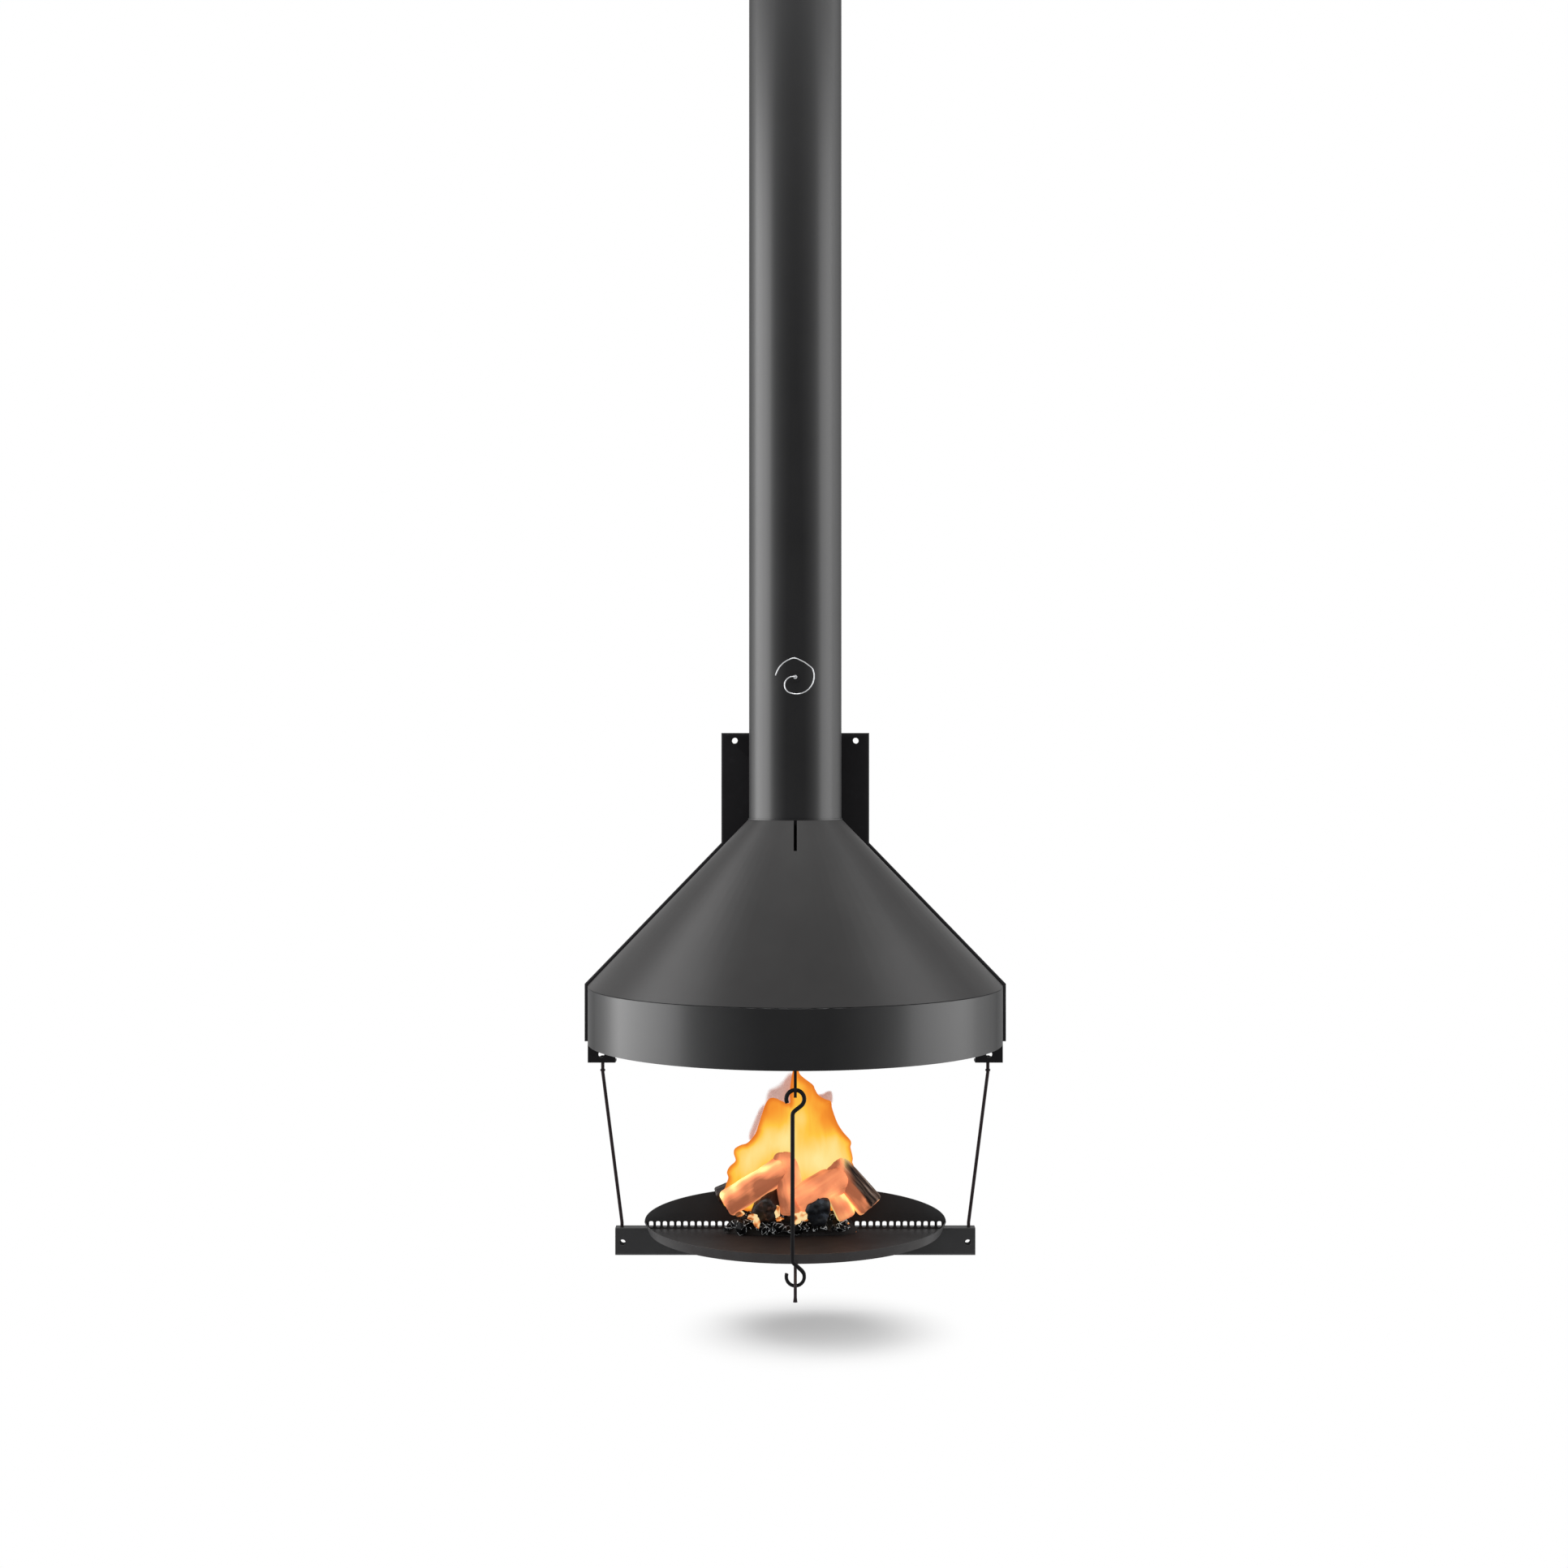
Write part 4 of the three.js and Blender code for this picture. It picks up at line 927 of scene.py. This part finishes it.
class FIREPLACE_OT_studio(bpy.types.Operator):
    """Sets up the camera, the softboxes, the white surroundings and the pale floor"""

    bl_idname = "fireplace.studio"
    bl_label = "Studio"
    bl_options = {"REGISTER", "UNDO"}

    def execute(self, context):
        settings = context.scene.fireplace_studio
        scene = context.scene
        scene.view_settings.view_transform = "Standard"

        lens = bpy.data.cameras.new("Studio camera")
        lens.lens = settings.focal_length
        lens.sensor_width = 36
        lens.sensor_fit = "HORIZONTAL"
        lens.shift_x = (PHOTO_WIDTH / 2 - FIREPLACE_MIDDLE) / PHOTO_WIDTH
        camera = bpy.data.objects.new("Studio camera", lens)
        camera.location = (0, -settings.camera_distance, settings.camera_height)
        camera.rotation_euler = (math.radians(90), 0, 0)
        scene.collection.objects.link(camera)
        scene.camera = camera

        # Each softbox has a place, what it faces, its width and height, and its power.
        hood = Vector((0, -0.2, 0.0))
        level_with_it = hood + Vector((0, 0, 0.5))
        softboxes = [
            ("Left softbox", (-2.5, -0.24, 0.5), level_with_it, (2.4, 3.4), settings.left_power),
            ("Right softbox", (2.5, -0.5, 0.5), level_with_it, (1.9, 3.4), settings.right_power),
            ("Top softbox", (0.0, -0.55, 2.9), hood, (1.4, 1.4), settings.top_power),
        ]
        for name, place, target, size, power in softboxes:
            light = bpy.data.lights.new(name, "AREA")
            light.shape = "RECTANGLE"
            light.size, light.size_y = size
            light.energy = power
            lamp = bpy.data.objects.new(name, light)
            lamp.location = place
            lamp.rotation_euler = (target - lamp.location).to_track_quat("-Z", "Y").to_euler()
            lamp.visible_camera = False
            scene.collection.objects.link(lamp)

        self.white_surroundings(scene)
        self.pale_floor(scene, settings.floor_height)
        return {"FINISHED"}

    def looked_at(self, tree):
        """1 for rays from the camera, through glass or off a gloss, 0 for the others."""
        rays = add_node(tree, "LightPath").node.outputs
        straight = add_node(
            tree, "Math", {0: rays["Is Camera Ray"], 1: rays["Is Transmission Ray"]}, operation="MAXIMUM"
        )
        return add_node(tree, "Math", {0: straight, 1: rays["Is Glossy Ray"]}, operation="MAXIMUM")

    def white_surroundings(self, scene):
        """A white background that lights the object only softly."""
        world = bpy.data.worlds.new("White studio")
        world.use_nodes = True
        tree = world.node_tree
        tree.nodes.clear()
        strength = add_node(tree, "Math", {0: self.looked_at(tree), 1: 0.45}, operation="MAXIMUM")
        background = add_node(tree, "Background", {"Color": (1, 1, 1, 1), "Strength": strength})
        add_node(tree, "OutputWorld", {"Surface": background})
        scene.world = world

    def pale_floor(self, scene, height):
        """A floor that shows white, apart from the object's own shadow."""
        reach = 6.0
        shadow_centre = (0.05, -0.16, height)
        full_shadow, no_shadow = 0.08, 0.33
        mesh = bpy.data.meshes.new("Studio floor")
        mesh.from_pydata(
            [(x * reach, y * reach, height) for x, y in ((-1, -1), (1, -1), (1, 1), (-1, 1))],
            [],
            [(0, 1, 2, 3)],
        )
        floor = bpy.data.objects.new("Studio_floor", mesh)
        scene.collection.objects.link(floor)
        material, tree = new_material("Matt white studio paint")
        place = add_node(tree, "TexCoord", output="Object")
        from_the_shadow = add_node(
            tree, "VectorMath", {0: place, 1: shadow_centre}, operation="SUBTRACT"
        )
        distance = add_node(tree, "VectorMath", {0: from_the_shadow}, output="Value", operation="LENGTH")
        far = add_node(
            tree,
            "MapRange",
            {"Value": distance, "From Min": full_shadow, "From Max": no_shadow},
            interpolation_type="SMOOTHSTEP",
        )
        matt = add_node(tree, "BsdfDiffuse", {"Color": (*linear("#e6e6e6"), 1)})
        lift, white = (
            add_node(tree, "Emission", {"Color": (1, 1, 1, 1), "Strength": strength})
            for strength in (0.17, 1.0)
        )
        near = add_node(tree, "AddShader", {0: matt, 1: lift})
        shown = add_node(tree, "MixShader", {0: far, 1: near, 2: white})
        surface = add_node(tree, "MixShader", {0: self.looked_at(tree), 1: matt, 2: shown})
        add_node(tree, "OutputMaterial", {"Surface": surface})
        mesh.materials.append(material)


class FIREPLACE_OT_hood(bpy.types.Operator):
    """Paints the flue and the hood"""

    bl_idname = "fireplace.hood"
    bl_label = "Hood and flue"
    bl_options = {"REGISTER", "UNDO"}

    def execute(self, context):
        settings = context.scene.fireplace_steel
        colour, roughness = settings.hood_paint, settings.paint_roughness
        soot = linear("#0f0d0c")
        paint = stove_paint("Satin stove paint on sheet steel", colour, roughness)
        sooted = stove_paint("Satin stove paint, sooted inside", colour, roughness, soot=soot)
        # The cone's material is the same paint, less glossy and lighter as painted light on its slope.
        dulled = stove_paint(
            "Satin stove paint, dulled by heat",
            settings.cone_paint,
            roughness,
            film_shares=FILM_ON_SLANTING_SHEET,
            soot=soot,
        )
        dress(["flue_pipe", "damper_bush_front", "damper_bush_rear"], paint)
        dress(["hood_crown", "hood_band"], sooted)
        dress(["hood_cone"], dulled)
        return {"FINISHED"}


class FIREPLACE_OT_wall_steel(bpy.types.Operator):
    """Blackens the back plate, the brackets, the hook and the fasteners"""

    bl_idname = "fireplace.wall_steel"
    bl_label = "Back plate and brackets"
    bl_options = {"REGISTER", "UNDO"}

    def execute(self, context):
        settings = context.scene.fireplace_steel
        black = blackened_steel("Blackened hot-rolled steel", settings.plate_paint, 0.55)
        fasteners = [
            name
            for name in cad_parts
            if "_bolt_" in name or "_nut_" in name or name.endswith("_bracket")
        ]
        dress(["hood_back_plate", "flue_spigot", "hood_hook", *fasteners], black)
        return {"FINISHED"}


class FIREPLACE_OT_rods(bpy.types.Operator):
    """Gives the side rods and the arm their oxide, and the front rod its crust of soot"""

    bl_idname = "fireplace.rods"
    bl_label = "Rods and arm"
    bl_options = {"REGISTER", "UNDO"}

    def execute(self, context):
        settings = context.scene.fireplace_steel
        brown = blackened_steel("Oxidised round bar", settings.rod_oxide, 0.5)
        black = blackened_steel("Blackened bent wire", shade(settings.plate_paint, 0.8), 0.45)
        dress(["left_rod", "right_rod", "left_rod_ferrule", "right_rod_ferrule", "hearth_arm"], brown)
        dress(["front_rod"], black)
        arm_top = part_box("hearth_arm")[1].z
        thicken("front_rod", "Crust of soot", 0.6, clear_below=arm_top + 12 * MM)
        return {"FINISHED"}


class FIREPLACE_OT_damper(bpy.types.Operator):
    """Finishes the damper and its spiral handle in bright steel"""

    bl_idname = "fireplace.damper"
    bl_label = "Damper and handle"
    bl_options = {"REGISTER", "UNDO"}

    def execute(self, context):
        settings = context.scene.fireplace_steel
        bright = drawn_steel("Bright drawn steel", settings.bright_wire)
        sooty = blackened_steel("Sooted steel sheet", settings.plate_paint, 0.7)
        turning = ["spindle", "handle", "screw_front", "screw_rear", "collar"]
        dress([f"damper_{name}" for name in turning], bright)
        thicken("damper_handle", "Wire worn thin", -0.3)
        dress(["damper_disc"], sooty)
        return {"FINISHED"}


class FIREPLACE_OT_hearth(bpy.types.Operator):
    """Paints the rail and the pan, scorched where the fire stands"""

    bl_idname = "fireplace.hearth"
    bl_label = "Rail and pan"
    bl_options = {"REGISTER", "UNDO"}

    def execute(self, context):
        settings = context.scene.fireplace_steel
        colour = settings.hearth_paint
        scorched = scorched_paint("Scorched stove paint", colour, settings.scorch, 0.5, reach_mm=420)
        paint = stove_paint("Stove paint on the rail", colour, 0.5)
        dress(["pan_floor", "pan_lip", "pan_upstand"], scorched)
        dress(["hearth_rail", "pan_hook_left", "pan_hook_right"], paint)
        return {"FINISHED"}


class FIREPLACE_OT_logs(bpy.types.Operator):
    """Lays the split and charred logs"""

    bl_idname = "fireplace.logs"
    bl_label = "Logs"
    bl_options = {"REGISTER", "UNDO"}

    def execute(self, context):
        settings = context.scene.fireplace_fire
        burning = burning_wood("Split hardwood, alight", settings)
        brown_black = charred_wood("Charred hardwood, still brown", linear("#1a110e"), linear("#34231c"))
        blue_black = charred_wood(
            "Charred hardwood, burnt through", linear("#0e1014"), linear("#23272d")
        )
        # Each burning log glows with painted light on its top and lower rim and a band of painted shade.
        rough_log("log_back", brown_black)
        rough_log("log_left", burning, swell_mm=4, warmth=0.36, painted_shade=0.34, painted_flame_light=0.45)
        rough_log(
            "log_middle",
            burning,
            swell_mm=9,
            warmth=0.32,
            painted_shade=0.15,
            painted_flame_light=0.1,
            shift_mm=(-7, 0, -5),
        )
        rough_log("log_slab", burning, swell_mm=8, warmth=0.36, painted_shade=-0.18, painted_flame_light=-0.08)
        rough_log(
            "log_right",
            burning,
            swell_mm=2,
            warmth=0.36,
            painted_shade=0.2,
            painted_flame_light=0.5,
            bark_side=(0.8, -0.2, 0.6),
        )
        rough_log("log_kindling", burning, swell_mm=3, warmth=0.55, painted_flame_light=0.5)
        rough_log("log_charred_left", brown_black, swell_mm=4, chunk_mm=8, grown=1.1)
        rough_log(
            "log_charred_right", blue_black, swell_mm=3, chunk_mm=6, grown=1.2, shift_mm=(0, -12, 0)
        )
        return {"FINISHED"}


class FIREPLACE_OT_embers(bpy.types.Operator):
    """Spreads the ember bed and the loose charcoal"""

    bl_idname = "fireplace.embers"
    bl_label = "Embers and charcoal"
    bl_options = {"REGISTER", "UNDO"}

    def execute(self, context):
        count = context.scene.fireplace_fire.charcoal_lumps
        peach = linear("#ffdfa2")
        orange = linear("#e8843c")
        ash = ember_ash("Ash and charcoal dust", linear("#14100f"), orange, peach)
        dress(["ember_bed"], ash)

        # The loose lumps lie in a row from left to right, each at a height of its own.
        chance = np.random.default_rng(11)
        row_start, row_length = -0.155, 0.275
        heaped = []
        for index in range(count):
            size = chance.uniform(8.5, 15) * MM
            x = row_start + row_length * (index + chance.uniform(0, 0.8)) / count
            heaped.append((self.on_the_slope(x, chance.uniform(0.25, 0.95), size), size))
        black = charcoal_face("Broken charcoal", linear("#09090a"), linear("#17191d"))
        worn = ash_edge_with_painted_glow("White ash on worn edges, with painted glow", linear("#c3c7c9"))
        lumps = self.heap("charcoal_lumps", heaped, black)
        lumps.data.materials.append(worn)
        bevel = lumps.modifiers.new("Worn edges", "BEVEL")
        bevel.width = 0.6 * MM
        bevel.segments = 1
        bevel.material = 1

        glowing = [
            ((x * MM, -reach * MM, PAN_FLOOR + height * MM), size * MM)
            for x, reach, height, size in GLOWING_COALS
        ]
        alight = glowing_coal("Charcoal, glowing through", orange, peach)
        coals = self.heap("glowing_coals", glowing, alight)
        bevel = coals.modifiers.new("Burnt edges", "BEVEL")
        bevel.width = 1.2 * MM
        bevel.segments = 2
        return {"FINISHED"}

    def on_the_slope(self, x, rise, size):
        """Where a lump lies on the front slope of the ember bed, from its foot up."""
        low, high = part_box("ember_bed")
        middle, half = (low + high) / 2, (high - low) / 2
        along = np.clip((x - middle.x) / half.x, -0.97, 0.97)
        reach = math.sqrt(1 - along**2)
        y = middle.y - half.y * reach * math.sqrt(1 - rise**2) - 0.2 * size
        return x, y, PAN_FLOOR + (high.z - PAN_FLOOR) * reach * rise

    def heap(self, name, lumps, material):
        """Makes lumps, each from its centre and its size, none of them through the pan."""
        vertices, faces = [], []
        for index, (centre, size) in enumerate(lumps):
            lump, triangles = charcoal_lump(centre, size, index)
            lump[:, 2] += max(0.0, PAN_FLOOR + 0.2 * MM - lump[:, 2].min())
            faces += [tuple(corner + len(vertices) for corner in face) for face in triangles]
            vertices += [tuple(corner) for corner in lump]
        laid = mesh_object(name, vertices, faces, material)
        laid.data.shade_flat()
        return laid


class FIREPLACE_OT_flames(bpy.types.Operator):
    """Raises the flames and the thin smoke beside them"""

    bl_idname = "fireplace.flames"
    bl_label = "Flames and smoke"
    bl_options = {"REGISTER", "UNDO"}

    def execute(self, context):
        glow = flame_glow("Wood flame", context.scene.fireplace_fire)
        gas_body("flames_behind", WHOLE_FIRE, 66, 22, glow, seed=1)
        gas_body("flame_left", LEFT_FLAME, 76, 22, glow, lean=-6, seed=2)
        gas_body("flame_right", RIGHT_FLAME, 74, 20, glow, lean=6, seed=3)
        gas_body("flame_middle", MIDDLE_FLAME, 78, 22, glow, lean=16, seed=4)
        haze = thin_smoke("Thin wood smoke", linear("#c9a69d"), 2.4)
        gas_body("smoke_middle", SMOKE_BESIDE_TONGUE, 62, 8, haze, seed=5, soft_edge=16)
        gas_body("smoke_left", LEFT_WISP, 60, 5, haze, seed=6, soft_edge=11)
        gas_body("smoke_right", RIGHT_WISP, 60, 5, haze, seed=7, soft_edge=9)
        return {"FINISHED"}


class FIREPLACE_PT_panel(bpy.types.Panel):
    """Lists the pieces of the fireplace"""

    bl_idname = "FIREPLACE_PT_panel"
    bl_label = "Fireplace"
    bl_space_type = "VIEW_3D"
    bl_region_type = "UI"
    bl_category = "Fireplace"

    def draw(self, context):
        layout = self.layout
        for operator in OPERATORS:
            layout.operator(operator.bl_idname)
        for holder in (
            context.scene.fireplace_steel, context.scene.fireplace_fire, context.scene.fireplace_studio
        ):
            box = layout.box()
            for name in holder.__annotations__:
                box.prop(holder, name)


OPERATORS = (
    FIREPLACE_OT_studio,
    FIREPLACE_OT_hood,
    FIREPLACE_OT_wall_steel,
    FIREPLACE_OT_rods,
    FIREPLACE_OT_damper,
    FIREPLACE_OT_hearth,
    FIREPLACE_OT_logs,
    FIREPLACE_OT_embers,
    FIREPLACE_OT_flames,
)
CLASSES = (SteelSettings, FireSettings, StudioSettings, *OPERATORS, FIREPLACE_PT_panel)


def register():
    for listed in CLASSES:
        bpy.utils.register_class(listed)
    bpy.types.Scene.fireplace_steel = bpy.props.PointerProperty(type=SteelSettings)
    bpy.types.Scene.fireplace_fire = bpy.props.PointerProperty(type=FireSettings)
    bpy.types.Scene.fireplace_studio = bpy.props.PointerProperty(type=StudioSettings)


def unregister():
    del bpy.types.Scene.fireplace_studio
    del bpy.types.Scene.fireplace_fire
    del bpy.types.Scene.fireplace_steel
    for listed in reversed(CLASSES):
        bpy.utils.unregister_class(listed)


def main():
    register()
    bpy.ops.fireplace.studio()
    bpy.ops.fireplace.hood()
    bpy.ops.fireplace.wall_steel()
    bpy.ops.fireplace.rods()
    bpy.ops.fireplace.damper()
    bpy.ops.fireplace.hearth()
    bpy.ops.fireplace.logs()
    bpy.ops.fireplace.embers()
    bpy.ops.fireplace.flames()


if __name__ == "__main__":
    main()
